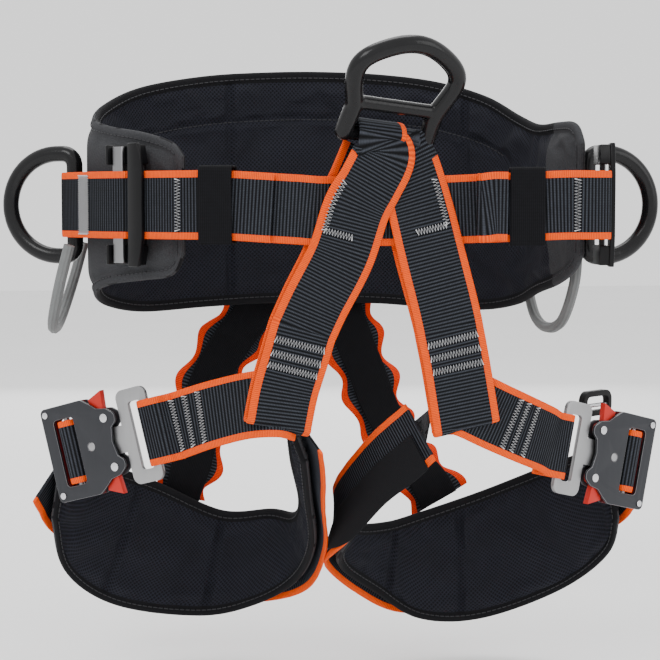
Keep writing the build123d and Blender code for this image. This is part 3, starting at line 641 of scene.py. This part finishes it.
def makePad(name, tops, bottoms, look, body, node):
    pad = Pad(tops, bottoms, look)
    outer, inner = padFace(pad, 1, name), padFace(pad, -1, name + "Inner")
    pick(outer, inner)
    bpy.ops.object.join()
    piece = bpy.context.object
    edit(piece, ("remove_doubles", {"threshold": 0.00002}), outwardFacing)
    swell(piece, look)
    for material in (lining, borderCloth, flapCloth):
        piece.data.materials.append(material)
    side, near, flap = read(piece.data, "side"), read(piece.data, "near"), read(piece.data, "flap")
    kinds = []
    for polygon in piece.data.polygons:
        around = list(polygon.vertices)
        outside = side[around].mean() > 0.5 or flap[around].mean() > 0.5
        kinds.append(2 if outside else (1 if near[around].mean() * 20 < 7.7 else 0))
    piece.data.polygons.foreach_set("material_index", kinds)
    for key in ("sewn", "side", "near", "flap"):
        piece.data.attributes.remove(piece.data.attributes[key])
    applyModifier(piece, "SUBSURF", levels=1, render_levels=1)
    pick(piece)
    bpy.ops.object.shade_smooth()
    finish(piece, None, body, "mesh_pad", node)
    rows = []
    for side in (1, -1):
        for line in (pad.edgeLine(side, fromTop=5.4), pad.edgeLine(side, fromBottom=5.4)):
            rows += dashes(line, 3.0, 1.1)
        for place in (5.4 * mm, pad.total - 5.4 * mm):
            rows += dashes(pad.crossLine(side, place, ends=6), 3.0, 1.1)
        for inset, first, last in look["longSeams"]:
            line = pad.edgeLine(side, fromTop=inset)
            line = line[int(len(line) * first):int(len(line) * last)]
            rows += dashes(line, 3.0, 1.1)
    thread = threadRows(name + "Stitches", rows, 0.42)
    finish(thread, darkThread, body, "mesh_pad")
    print(name, "made")
    return pad


waistLook = {
    "half": 4.9, "bound": 2.6, "seamDepth": 0.85, "columns": 108, "rows": 22, "outward": -1,
    "flapFrom": 0.915, "crossSeams": [7.4, 11.6], "longSeams": [(37, 0.24, 0.80)],
    "pressure": 4.0, "slack": 0.06, "capIn": 4.0, "capOut": 1.2,
}
waistTop = [(x, y, high) for x, y, low, high in waistLine]
waistBottom = [(x, y, low) for x, y, low, high in waistLine]
makePad("waistPad", waistTop, waistBottom, waistLook, "belt", "waist_pad")

legEdges = {  # top edge, bottom edge, from the outer end round the back to the inner end
    "left": [
        ((-188, 34, -168), (-196, 40, -226)), ((-162, 58, -186), (-186, 72, -272)),
        ((-118, 78, -206), (-148, 90, -302)), ((-68, 90, -231), (-84, 92, -313)),
        ((-32, 72, -228), (-44, 74, -302)), ((-18, 44, -226), (-18, 46, -280)),
        ((-22, -6, -204), (-12, 0, -246)), ((-36, -52, -168), (-22, -46, -204)),
        ((-44, -82, -136), (-30, -78, -172)),
    ],
    "right": [
        ((204, -14, -172), (212, -12, -230)), ((190, 8, -182), (211, 8, -260)),
        ((164, 28, -196), (184, 39, -292)), ((124, 54, -217), (130, 64, -317)),
        ((80, 60, -232), (80, 62, -315)), ((50, 44, -236), (42, 48, -290)),
        ((20, 16, -230), (12, 22, -266)), ((10, -22, -206), (8, -16, -244)),
        ((28, -66, -164), (24, -60, -206)), ((52, -98, -134), (46, -92, -172)),
    ],
}
legPadLook = {
    "half": 5.0, "bound": 2.6, "seamDepth": 0.85, "columns": 78, "rows": 10, "longSeams": [],
    "flapFrom": 2.0, "pressure": 4.0, "slack": 0.07, "capIn": 4.5, "capOut": 1.2,
}
legLook = {
    "left": {"crossSeams": [1.75, 3.05], "outward": -1},
    "right": {"crossSeams": [3.35, 4.75], "outward": 1},
}
legWebShift = {"left": [0, 0, 0, -6, -12, -8, 0, 0, 0], "right": [0, 0, 0, -8, -16, -10, 2, 4, 4, 2]}
for side in sides:
    tops, bottoms = zip(*legEdges[side])
    look = {**legPadLook, **legLook[side]}
    makePad("legPad" + side.title(), tops, bottoms, look, "leg_" + side, "leg_pad_" + side)


adjuster = {  # origin, along, outward
    "left": ((-142, -46, 0), (0.62, -0.785, 0), (-0.785, -0.62, 0)),
    "right": ((163, -104, 0), (-0.17, -0.985, 0), (0.985, -0.17, 0)),
}
vertical = (0, 0, 1)


def local(side, reach, out):
    origin, along, outward = (np.array(v, float) for v in adjuster[side])
    return origin + along * reach + outward * out


def sliderLoop(side, towardsRing):
    along, outward = adjuster[side][1:]
    bend = arc(local(side, -1.5, 4.9), outward, along, 3.0, 0, 180, 7)
    return [local(side, towardsRing, 7.9), *bend, local(side, -12, 1.9)]


def frontLoop(side):
    along, outward = adjuster[side][1:]
    bend = arc(local(side, 8.3, 1.5), outward, -np.array(along), 3.0, 0, 180, 7)
    return [local(side, 23, 4.5), local(side, 15, 4.5), *bend, local(side, 15, -1.5), local(side, 23, -1.5)]


def beltStations():
    left, right = ringStation["left"], ringStation["right"]
    centre = [*reversed(sliderLoop("left", -24)), beside(left - 0.018, wrapOffset - 1.0)[0]]
    centre += [beside(left, wrapOffset)[0], beside(left + 0.018, wrapOffset - 3.0)[0]]
    centre += [beside(left + 0.045, padOffset + 2.0)[0]]
    shares = left + 0.075 + np.linspace(0, 1, 22) * (right - left - 0.15)
    centre += [beside(share, padOffset + 0.4)[0] for share in shares]
    centre += [beside(right - 0.045, padOffset + 2.0)[0], beside(right - 0.018, wrapOffset - 3.0)[0]]
    centre += [beside(right, wrapOffset)[0], *sliderLoop("right", -20)]
    return [(point, vertical) for point in centre]


def frontStations():
    tail = [(-57.3, -110, -2), (-72.6, -105.4, -1), (-91.9, -97.8, 0), (-111.7, -85.7, 0)]
    run = [(-109, -82.5, 0), (-90, -94, 0), (-71, -101.5, -1), (-56, -106.3, -2), (-40, -112.5, -3),
           (-27, -116.6, -4), (-5, -115.3, -4), (17, -113.2, -4), (41, -110.8, -4), (63, -108.9, -3),
           (84, -114, -2), (109, -120.6, -1), (134, -125, 0), (149, -126.5, 0)]
    end = [(150, -131.5, 0), (134, -129.3, 0), (109, -125.2, -1), (84, -120.9, -2), (77.5, -121.0, -2),
           (76.6, -123.2, -2), (79.5, -124.9, -2), (87, -125.4, -1), (95, -127.2, -1)]
    centre = [*tail, *frontLoop("left"), *run, *reversed(frontLoop("right")), *end]
    return [(point, vertical) for point in centre]


beltRoute = Route(beltStations(), webWidth)
belt = weaveStrap("beltWebbing", beltRoute, webThick)
finish(belt, webbing, "belt", "webbing", "belt_webbing")
frontRoute = Route(frontStations(), webWidth)
front = weaveStrap("frontWebbing", frontRoute, webThick)
finish(front, webbing, "belt", "webbing", "front_webbing")
for side in sides:
    shares = [ringStation[side] + shift for shift in (-0.02, -0.007, 0.007, 0.02)]
    patch = [(beside(share, padOffset)[0], vertical) for share in shares]
    wrap = weaveStrap("ringPatch" + side.title(), Route(patch, webWidth), webThick)
    finish(wrap, webbing, "belt", "webbing", "ring_patch_" + side)

swing, pitch, lift, reach = stitchLook.values()
rows = []
for point in ((-116, -83.5, 0), (141, -130.4, 0)):
    along, over = frontRoute.near(point)
    rows.append(zigzag(frontRoute, (along / mm, -17), (along / mm, 17), swing, pitch, -lift))
finish(threadRows("frontStitches", rows), paleThread, "belt", "webbing")
along, over = beltRoute.near((-171, -12, 0))
rows = []
for shift in (-6.5, -4.3, -2.1, 0.1, 2.3, 4.5):
    rows.append(zigzag(beltRoute, (along / mm + shift, -20), (along / mm + shift, 20), 2.6, 1.5, -lift))
finish(threadRows("beltStitches", rows), paleThread, "belt", "webbing")

keeperPlace = {
    "left": ((-91, -95.9, 0), (0.894, -0.447, 0)),
    "right": ((109, -123.0, -1), (0.984, -0.177, 0)),
}
keeperOutline = [
    (0, -1), (-3.2, -1), (-5.2, -0.93), (-5.5, 0), (-5.2, 0.93), (0, 1),
    (5.2, 0.93), (5.5, 0), (5.2, -0.93), (3.2, -1), (0.2, -1),
]
for side in sides:
    centre, along = (np.array(v, float) for v in keeperPlace[side])
    along = unit(along)
    outward = np.array([along[1], -along[0], 0.0])
    stations = [(centre + outward * a + np.array((0, 0, 1)) * b * 24.4, along) for a, b in keeperOutline]
    sleeve = weaveStrap("keeper" + side.title(), Route(stations, 23), 1.4, ribs=False)
    finish(sleeve, elastic, "belt", "elastic", "keeper_" + side)
print("belt and front webbing made")


ventralCentre = np.array((15.6, -116, 44.0))
ventralAcross = unit((0.96, 0.27, -0.10))
vStations = {
    "left": [
        ((11, -117.4, 33), (0.94, 0.28, -0.15)), ((3, -117.5, 15), (0.95, 0.21, -0.20)),
        ((-5, -115.4, -2), (0.97, 0.10, -0.20)),
        ((-14, -113, -32), (0.965, 0.10, -0.21)), ((-29, -111, -62), (0.96, 0.12, -0.22)),
        ((-36, -109.5, -77.5), (0.96, 0.12, -0.22)),
        ((-38, -109, -82.5), (0.96, 0.12, -0.22)), ((-43, -107.5, -100), (0.95, 0.15, -0.23)),
        ((-49, -105.5, -121), (0.94, 0.18, -0.24)),
        ((-53, -104, -142), (0.93, 0.20, -0.26)),
    ],
    "right": [
        ((27, -112.6, 30), (0.95, 0.29, 0.02)), ((35, -110.8, 10), (0.97, 0.19, 0.10)),
        ((41, -110.8, -10), (0.985, 0.10, 0.13)),
        ((47, -112, -34), (0.985, 0.06, 0.15)), ((54, -114, -61), (0.98, 0.05, 0.18)),
        ((58, -115, -77.5), (0.98, 0.04, 0.19)),
        ((59, -115, -82.5), (0.98, 0.04, 0.19)), ((63, -114, -101), (0.98, 0.06, 0.20)),
        ((67, -113, -122), (0.98, 0.04, 0.21)),
        ((71, -112, -144), (0.97, 0.02, 0.22)),
    ],
}
vGap = {
    "left": [8.6, 8.0, 7.2, 5.0, 3.6, 3.4, 3.4, 3.4, 3.4, 3.4],
    "right": [5.2, 4.8, 4.5, 4.7, 4.0, 3.4, 3.4, 3.4, 3.4, 3.4],
}
vEye = {"left": (9.2, -6.0), "right": (6.4, 6.0)}  # radius round the ring's bar, and place along it
vPlain = {"left": [-1], "right": [-1, 1]}
vStitch = {
    "left": {"rows": (-90.8, -98.8, -106.8), "edge": -16.5, "foot": 3.0,
             "upright": ((-9, -116, 14), (-20, -115, -17))},
    "right": {"rows": (-88.5, -97.5, -106.5), "edge": 14.5, "foot": -7.0,
              "upright": ((37, -111, 13), (44, -112, -16))},
}


def vRoute(side):
    frontLayer, backLayer = [], []
    places = [np.array(p, float) for p, over in vStations[side]]
    for index, (point, over) in enumerate(vStations[side]):
        down = places[min(index + 1, 9)] - places[max(index - 1, 0)]
        facing = unit(np.cross(unit(over), down))
        facing = facing if facing[1] < 0 else -facing
        frontLayer.append((places[index] + facing * vGap[side][index], over))
        backLayer.append((places[index] - facing * vGap[side][index], over))
    facing = unit(np.cross((0, 0, 1), ventralAcross))
    facing = facing if facing[1] < 0 else -facing
    above = unit(np.cross(facing, ventralAcross))
    above = above if above[2] > 0 else -above
    radius, shift = vEye[side]
    turn = arc(ventralCentre + ventralAcross * shift, facing, above, radius, 200, -20, 9)
    eye = [(point, ventralAcross, 34) for point in turn]
    endFront, endBack = frontLayer[-1][0], backLayer[-1][0]
    facing = unit(endFront - endBack)
    below = unit(endFront - frontLayer[-2][0])
    fold = arc((endFront + endBack) / 2, facing, below, np.linalg.norm(endFront - endBack) / 2, 22, 158, 5)
    fold = [(point, vStations[side][-1][1]) for point in fold]
    return Route([*eye, *frontLayer, *fold, *reversed(backLayer)], webWidth)


for side in sides:
    route = vRoute(side)
    name = "vStrap" + side.title()
    until = route.near(np.array(vStations[side][0][0], float) + (0, -6, 0))[0] + 7 * mm
    strap = weaveStrap(name, route, webThick, plain=(until, vPlain[side]))
    finish(strap, webbing, None, "webbing", "v_strap_upper_" + side, "v_strap_lower_" + side)
    x = vStations[side][5][0][0]
    x * mm
    x * mm
    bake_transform(strap)
    look = vStitch[side]
    rows = []
    for z in look["rows"]:
        index = np.interp(-z, [-p[0][2] for p in vStations[side]], range(10))
        place = spread(np.array([p[0] for p in vStations[side]], float), range(10), [index])[0]
        along, over = route.near(place + (0, -4.5, 0))
        rows.append(zigzag(route, (along / mm, -reach), (along / mm, reach), swing, pitch, lift))
    finish(threadRows(name + "Rows", rows), paleThread, "leg_" + side, "webbing")
    top, bottom = (route.near(np.array(p, float) + (0, -6, 0))[0] / mm for p in look["upright"])
    edge, foot = look["edge"], look["foot"]
    rows = [zigzag(route, (top, edge), (bottom, edge), 4.0, pitch, lift)]
    rows.append(zigzag(route, (bottom, edge), (bottom, foot), 4.0, pitch, lift))
    finish(threadRows(name + "Corner", rows), paleThread, "belt", "webbing")
print("V straps made")


buckle = {  # centre, along, outward
    "left": ((-174, -21, -167), (-0.737, 0.625, -0.258), (-0.64, -0.764, -0.02)),
    "right": ((200, -44, -180), (0.86, 0.452, -0.234), (0.464, -0.883, 0.0)),
}
legStations = {
    "left": [((-38, -96, -133), (0.02, 0.10, 0.99)), ((-52, -104, -129), (0.05, 0.20, 0.97)),
             ((-72, -97, -131), (0.00, 0.36, 0.92)),
             ((-95, -84, -138), (-0.06, 0.34, 0.93)), ((-116, -67, -147), (-0.14, 0.22, 0.96))],
    "right": [((56, -109, -129), (-0.02, 0.10, 0.99)), ((70, -113, -130), (-0.02, 0.02, 0.99)),
              ((94, -109, -141), (0.06, -0.10, 0.98)),
              ((116, -99, -151), (0.12, -0.04, 0.98)), ((134, -87, -159), (0.16, 0.06, 0.98))],
}
legStitchAt = {
    "left": ((-115, -68, -147), (-107.5, -74, -144), (-100, -80, -140)),
    "right": ((103.5, -105, -145), (111, -101.5, -148), (119.5, -97, -152)),
}
rearStations = {
    "left": [((-36, 124.0, -46), (1.0, 0.12, 0.0)), ((-38, 124.6, -80), (1.0, 0.12, 0.10)),
             ((-55, 121, -104), (0.95, 0.08, 0.34)),
             ((-70, 117, -128), (0.93, 0.04, 0.36)), ((-79, 112, -152), (0.96, 0.02, 0.24)),
             ((-84, 106, -178), (0.96, 0.06, 0.24)),
             ((-92, 101, -204), (0.93, 0.16, 0.30)), ((-98, 102, -222), (0.93, 0.20, 0.26))],
    "right": [((30, 123.8, -46), (1.0, -0.10, 0.0)), ((32, 124.2, -80), (1.0, -0.10, -0.05)),
              ((40, 120, -106), (0.96, -0.06, -0.22)),
              ((49, 112, -132), (0.95, -0.04, -0.28)), ((57, 103, -157), (0.94, -0.04, -0.34)),
              ((70, 90, -184), (0.90, -0.04, -0.42)),
              ((88, 77.5, -209), (0.92, -0.10, -0.36)), ((98, 74, -226), (0.95, -0.14, -0.26))],
}


def buckleFrame(side):
    centre, along, outward = (np.array(v, float) for v in buckle[side])
    outward = unit(outward)
    along = unit(along - outward * np.dot(along, outward))
    return centre, along, np.cross(outward, along), outward


def legStrapRoute(side):
    centre, along, _, outward = buckleFrame(side)
    over = np.cross(outward, along)
    over = over if over[2] > 0 else -over
    bar = centre - along * 57.25
    bend = arc(bar, outward, along, 4.6, 0, 180, 7)
    start = bar - along * 12 + outward * 5.0
    loop = [start, *bend, bar - along * 10 - outward * 4.4, bar - along * 20 - outward * 3.4]
    return Route([*legStations[side], *[(point, over) for point in loop]], webWidth)


def legWebRoute(side):
    upper = smoothRun([top for top, bottom in legEdges[side]], 4)
    lower = smoothRun([bottom for top, bottom in legEdges[side]], 4)
    shifts = smoothRun([[s] for s in legWebShift[side]], 4)
    middle = (upper + lower) / 2
    ahead = unit(np.gradient(middle, axis=0))
    rise = unit(upper - lower)
    outward = 1 if side == "right" else -1
    centre = middle - unit(np.cross(ahead, rise)) * padOffset * -outward + rise * shifts
    return Route(list(zip(centre, rise)), webWidth)


def rearRoute(side, offset, width):
    centres = np.array([point for point, over in rearStations[side]], float)
    ahead = unit(np.gradient(centres, axis=0))
    stations = []
    for (point, over), run in zip(rearStations[side], ahead):
        inward = unit(np.cross(run, unit(over)))
        inward = inward if inward[1] < 0 else -inward
        stations.append((np.array(point) + inward * offset, over))
    return Route(stations, width)


def adjustRoute(side):
    centre, along, down, outward = buckleFrame(side)
    rod = centre + along * 11.0 - outward * 0.5
    bend = arc(rod, along, outward, 6.0, -25, 205, 11)
    ahead, behind = ((34, -13.5), (26, -11.5), (19, -8.5)), ((8, -10), (14, -14), (25, -17), (36, -19))
    lead, tail = ([centre + along * x + outward * z for x, z in places] for places in (ahead, behind))
    return Route([(point, down) for point in (*lead, *bend, *tail)], 44)


coverLook = {"first": 0.70, "last": 0.985, "width": 27.0, "down": 11.0, "lift": 2.2}


def coverRoute(route):  # a sleeve of cover cloth over the lower half of the leg webbing, near its inner end
    stations = []
    for share in np.linspace(coverLook["first"], coverLook["last"], 12):
        along = share * route.length
        width = coverLook["width"] * min(1.0, 0.35 + (share - coverLook["first"]) * 9)
        place = route.at(along, -coverLook["down"] * mm, coverLook["lift"] * mm) / mm
        stations.append((place, route.read(route.over, along), width))
    return Route(stations, coverLook["width"])


ruffleLook = {"lift": 6.0, "aside": 3.4, "wave": 35.0, "start": 30.0}


def ruffled(along, over):  # the strap's edges rise and fall where the elastic gathers it
    share = np.clip((along / mm - ruffleLook["start"]) / 25, 0, 1)
    turn = 2 * np.pi * along / (ruffleLook["wave"] * mm) + np.sign(over) * 0.9
    edge = np.abs(over) ** 1.4
    lift = -ruffleLook["lift"] * mm * edge * (0.5 - 0.5 * np.cos(turn)) * share
    return lift, np.sign(over) * edge * ruffleLook["aside"] * mm * np.cos(turn + 0.8) * share


for side in sides:
    name = side.title()
    leg = "leg_" + side
    route = legStrapRoute(side)
    finish(weaveStrap("legStrap" + name, route, webThick), webbing, leg, "webbing", "leg_strap_" + side)
    turned = -1 if side == "left" else 1
    rows = []
    for place in legStitchAt[side]:
        along, over = route.near(place)
        rows.append(zigzag(route, (along / mm, -reach), (along / mm, reach), 4.0, pitch, lift * turned))
    finish(threadRows("legStrapStitches" + name, rows), paleThread, leg, "webbing")
    band = weaveStrap("legWebbing" + name, legWebRoute(side), webThick)
    finish(band, webbing, leg, "webbing", "leg_webbing_" + side)
    gathered = weaveStrap("shadedRearWebbing" + name, rearRoute(side, 0.0, webWidth), 2.0, ruffled)
    band = weaveStrap("rearElastic" + name, rearRoute(side, 2.4, 30), 1.6, ribs=False)
    # the rear webbing takes the darker, redder copy of the webbing colours, which is painted shade
    finish(gathered, shadedRearWebbing, None, "webbing", "rear_webbing_" + side)
    finish(band, elastic, None, "elastic", "rear_elastic_" + side)
    for piece in (gathered, band):
        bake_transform(piece)
    tail = weaveStrap("adjustStrap" + name, adjustRoute(side), webThick)
    finish(tail, webbing, None, "webbing", "adjust_strap_" + side)
    centre, along, down, outward = buckleFrame(side)
    tuple((centre + along * 37) * mm)
    tuple((centre + along * 19) * mm)
    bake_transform(tail)
cover = weaveStrap("legCoverRight", coverRoute(legWebRoute("right")), 1.2, ribs=False)
finish(cover, coverCloth, "leg_right", "mesh_pad")
print("leg and rear straps made")


def copyOf(node):
    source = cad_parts[node]
    piece = bpy.data.objects.new(node + "Soft", source.data.copy())
    bpy.context.collection.objects.link(piece)
    piece.data.materials.clear()
    edit(piece, ("remove_doubles", {"threshold": 0.000005}))
    return piece


def eased(node, material, body, slot, width, segments=2, rim=None):  # machined part with its edges eased
    piece = copyOf(node)
    edit(piece, ("dissolve_limited", {"angle_limit": math.radians(3)}))
    for part in (material, rim or material):
        piece.data.materials.append(part)
    limits = {"limit_method": "ANGLE", "angle_limit": math.radians(40)}
    applyModifier(piece, "BEVEL", width=width * mm, segments=segments, material=1, **limits)
    pick(piece)
    bpy.ops.object.shade_smooth_by_angle(angle=math.radians(35))
    return finish(piece, None, body, slot, node)


bowLook = {"slices": 9, "half": 46.0, "inset": 6.5, "notch": 1.2, "from": 9.8}


def bowed(piece, side):  # the plate is widest in the middle and narrows towards its ends
    heights = np.linspace(-1, 1, bowLook["slices"]) * bowLook["half"] * 0.9 * mm
    edit(piece, *[("bisect", {"plane_co": (0, 0, height), "plane_no": (0, 0, 1)}) for height in heights])
    origin, along = (np.array(v, float) for v in adjuster[side][:2])
    places = np.empty(len(piece.data.vertices) * 3)
    piece.data.vertices.foreach_get("co", places)
    places = places.reshape(-1, 3)
    reach = (places - origin * mm) @ unit(along) / mm
    share = np.clip(np.abs(places[:, 2]) / mm / bowLook["half"], 0, 1)
    notch = bowLook["notch"] * (np.cos(share * 22) * 0.5 + 0.5) * (share < 0.5)
    back = np.clip((reach - bowLook["from"]) / 4, 0, 1) * (bowLook["inset"] * share ** 2.2 + notch)
    places -= np.outer(back * mm, unit(along))
    piece.data.vertices.foreach_set("co", places.ravel())


def forged(node, material, body, slot, voxel, rounds):  # bars grown together, as forged in one piece
    piece = copyOf(node)
    applyModifier(piece, "REMESH", mode="VOXEL", voxel_size=voxel * mm)
    applyModifier(piece, "SMOOTH", factor=0.6, iterations=rounds)
    pick(piece)
    bpy.ops.object.shade_smooth()
    return finish(piece, material, body, slot, node)


bossLook = {"radius": 3.0, "height": 4.0, "back": 8.2, "out": 2.5}  # centre boss of a buckle
forged("ventral_ring", blackRing, "ventral_ring", "ring_black", 1.0, 8)
for side in sides:
    forged("side_ring_" + side, blackRing, "side_ring_" + side, "ring_black", 1.1, 6)
    plate = eased("adjuster_frame_" + side, blackPlate, "belt", "adjuster_steel", 0.7)
    bowed(plate, side)
    eased("adjuster_bar_" + side, barSteel, "adjuster_bar_" + side, "bar_steel", 0.3)
    eased("tongue_" + side, satinSteel, "leg_" + side, "tongue_steel", 0.8, 3)
    eased("lock_frame_" + side, mattBlack, "leg_" + side, "lock_plastic", 1.0, 3)
    eased("buckle_front_" + side, greyPlate, "buckle_" + side, "plate_grey", 0.5, 3, wornEdge)
    eased("buckle_back_" + side, greyPlate, "buckle_" + side, "plate_grey", 0.5, 2)
    eased("buckle_spacer_" + side, deepRed, "buckle_" + side, "spacer_red", 0.3)
    eased("buckle_rivets_" + side, brightSteel, "buckle_" + side, "bar_steel", 0.3, 3)
    for place in ("upper", "lower"):
        eased("lever_" + place + "_" + side, redLever, "lever_" + place + "_" + side, "lever_red", 0.4, 2)
    for node, material in (("buckle_rod_", satinSteel), ("lock_roller_", brightSteel)):
        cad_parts[node + side].data.materials.clear()
        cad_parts[node + side].data.materials.append(material)
    centre, along, down, outward = buckleFrame(side)
    place = (centre - along * bossLook["back"] + outward * bossLook["out"]) * mm
    turn = Vector(outward).to_track_quat("Z", "Y").to_euler()
    size = {"radius": bossLook["radius"] * mm, "depth": bossLook["height"] * mm}
    bpy.ops.mesh.primitive_cylinder_add(vertices=48, location=place, rotation=turn, **size)
    boss = bpy.context.object
    boss.name = "buckleBoss" + side.title()
    pick(boss)
    bpy.ops.object.transform_apply(location=True, rotation=True, scale=True)
    applyModifier(boss, "BEVEL", width=0.6 * mm, segments=3, limit_method="ANGLE")
    pick(boss)
    bpy.ops.object.shade_smooth_by_angle(angle=math.radians(35))
    finish(boss, satinSteel, "buckle_" + side, "bar_steel")
print("hardware made")

springLook = {"radius": 0.95, "wire": 0.22, "turns": 6, "start": -11.9, "over": 17.2, "long": 3.2}
for side in sides:
    centre, along, down, outward = buckleFrame(side)
    for place in ("upper", "lower"):
        turned = 1 if (place == "upper") == (side == "right") else -1
        steps = np.linspace(0, 1, springLook["turns"] * 14)
        angle = steps * springLook["turns"] * 2 * np.pi
        reach = springLook["start"] + 0.3 + steps * (springLook["long"] - 0.6)
        points = centre + np.outer(reach, along) + down * springLook["over"] * turned
        points = points + np.outer(np.cos(angle) * springLook["radius"], down)
        points = points + np.outer(np.sin(angle) * springLook["radius"], outward)
        coil = threadRows("leverSpring" + place.title() + side.title(), [points * mm], springLook["wire"])
        finish(coil, brightSteel, "buckle_" + side, "bar_steel", "lever_spring_" + place + "_" + side)

loopLook = {
    "radius": 3.9, "flutes": 9, "depth": 0.35, "around": 72, "span": 96.0, "drop": 62.0,
    "lean": {"left": 15.0, "right": -2.0}, "shift": {"left": 0.004, "right": -0.104},
}
for side in sides:
    start, outward, along = beside(ringStation[side] + loopLook["shift"][side], 13.9, -27.5)
    tilt = math.radians(loopLook["lean"][side])
    down = np.array((0, 0, -math.cos(tilt))) + outward * math.sin(tilt)
    half, drop, around = loopLook["span"] / 2, loopLook["drop"], loopLook["around"]
    outline = [(-half, 0), (-half + 3, drop * 0.45), (-half * 0.55, drop * 0.88), (0, drop)]
    outline += [(half * 0.55, drop * 0.88), (half - 3, drop * 0.45), (half, 0)]
    line = smoothRun([start + along * a + down * b for a, b in outline], 16) * mm
    angle = np.arange(around + 1) % around * 2 * math.pi / around
    ahead = unit(np.gradient(line, axis=0))
    outwards = unit(np.cross(along, down))
    inward = np.cross(ahead, outwards)
    size = (loopLook["radius"] - loopLook["depth"] * (0.5 - 0.5 * np.cos(loopLook["flutes"] * angle))) * mm
    sunk, raised = (size * np.sin(angle))[None, :, None], (size * np.cos(angle))[None, :, None]
    loop = gridPiece("gearLoop" + side.title(), line[:, None] + outwards * raised + inward[:, None] * sunk)[0]
    edit(loop, ("remove_doubles", {"threshold": 0.00001}), ("fill_holes", {"sides": 0}), outwardFacing)
    bpy.ops.object.shade_smooth_by_angle(angle=math.radians(60))
    finish(loop, loopGrey, "gear_loop_" + side, "loop_grey", "gear_loop_" + side)
print("gear loops made")


bpy.ops.mesh.primitive_plane_add(size=12, location=(0, 0, -0.345))
floor = bpy.context.object
floor.name = "floor"
paper = Surface("palePaper", Roughness=0.9)
grain = paper.noise(paper.place(), 3.0)
paper.set("Base Color", paper.mix(grain, rgb(0.86, 0.86, 0.86), rgb(0.90, 0.90, 0.90)))
floor.data.materials.append(paper.material)

world = bpy.data.worlds.new("studio")
bpy.context.scene.world = world
world.use_nodes = True
world.node_tree.nodes["Background"].inputs["Color"].default_value = (1, 1, 1, 1)
world.node_tree.nodes["Background"].inputs["Strength"].default_value = 1.35


def softLight(name, place, size, power):
    bpy.ops.object.light_add(type="AREA", location=place)
    light = bpy.context.object
    light.name = name
    light.data.size = size
    light.data.energy = power
    light.rotation_euler = (Vector((0, 0, -0.08)) - Vector(place)).to_track_quat("-Z", "Y").to_euler()


softLights = {  # place, size, power
    "keyLight": ((-1.2, -1.6, 1.5), 1.0, 22),
    "fillLight": ((1.7, -1.3, 0.7), 1.2, 10),
    "topLight": ((0.1, 0.6, 1.9), 1.2, 18),
    "rimLight": ((0.2, 1.9, 0.5), 1.4, 10),
}
for name, (place, size, power) in softLights.items():
    softLight(name, place, size, power)

aim = Vector((0, 0, -0.089))
bpy.ops.object.camera_add(location=(-0.2257, -1.2774, 0.0017))
camera = bpy.context.object
camera.data.lens = 99.55
camera.data.sensor_width = 36
camera.data.clip_start = 0.05
camera.rotation_euler = (aim - camera.location).to_track_quat("-Z", "Y").to_euler()
bpy.context.scene.camera = camera
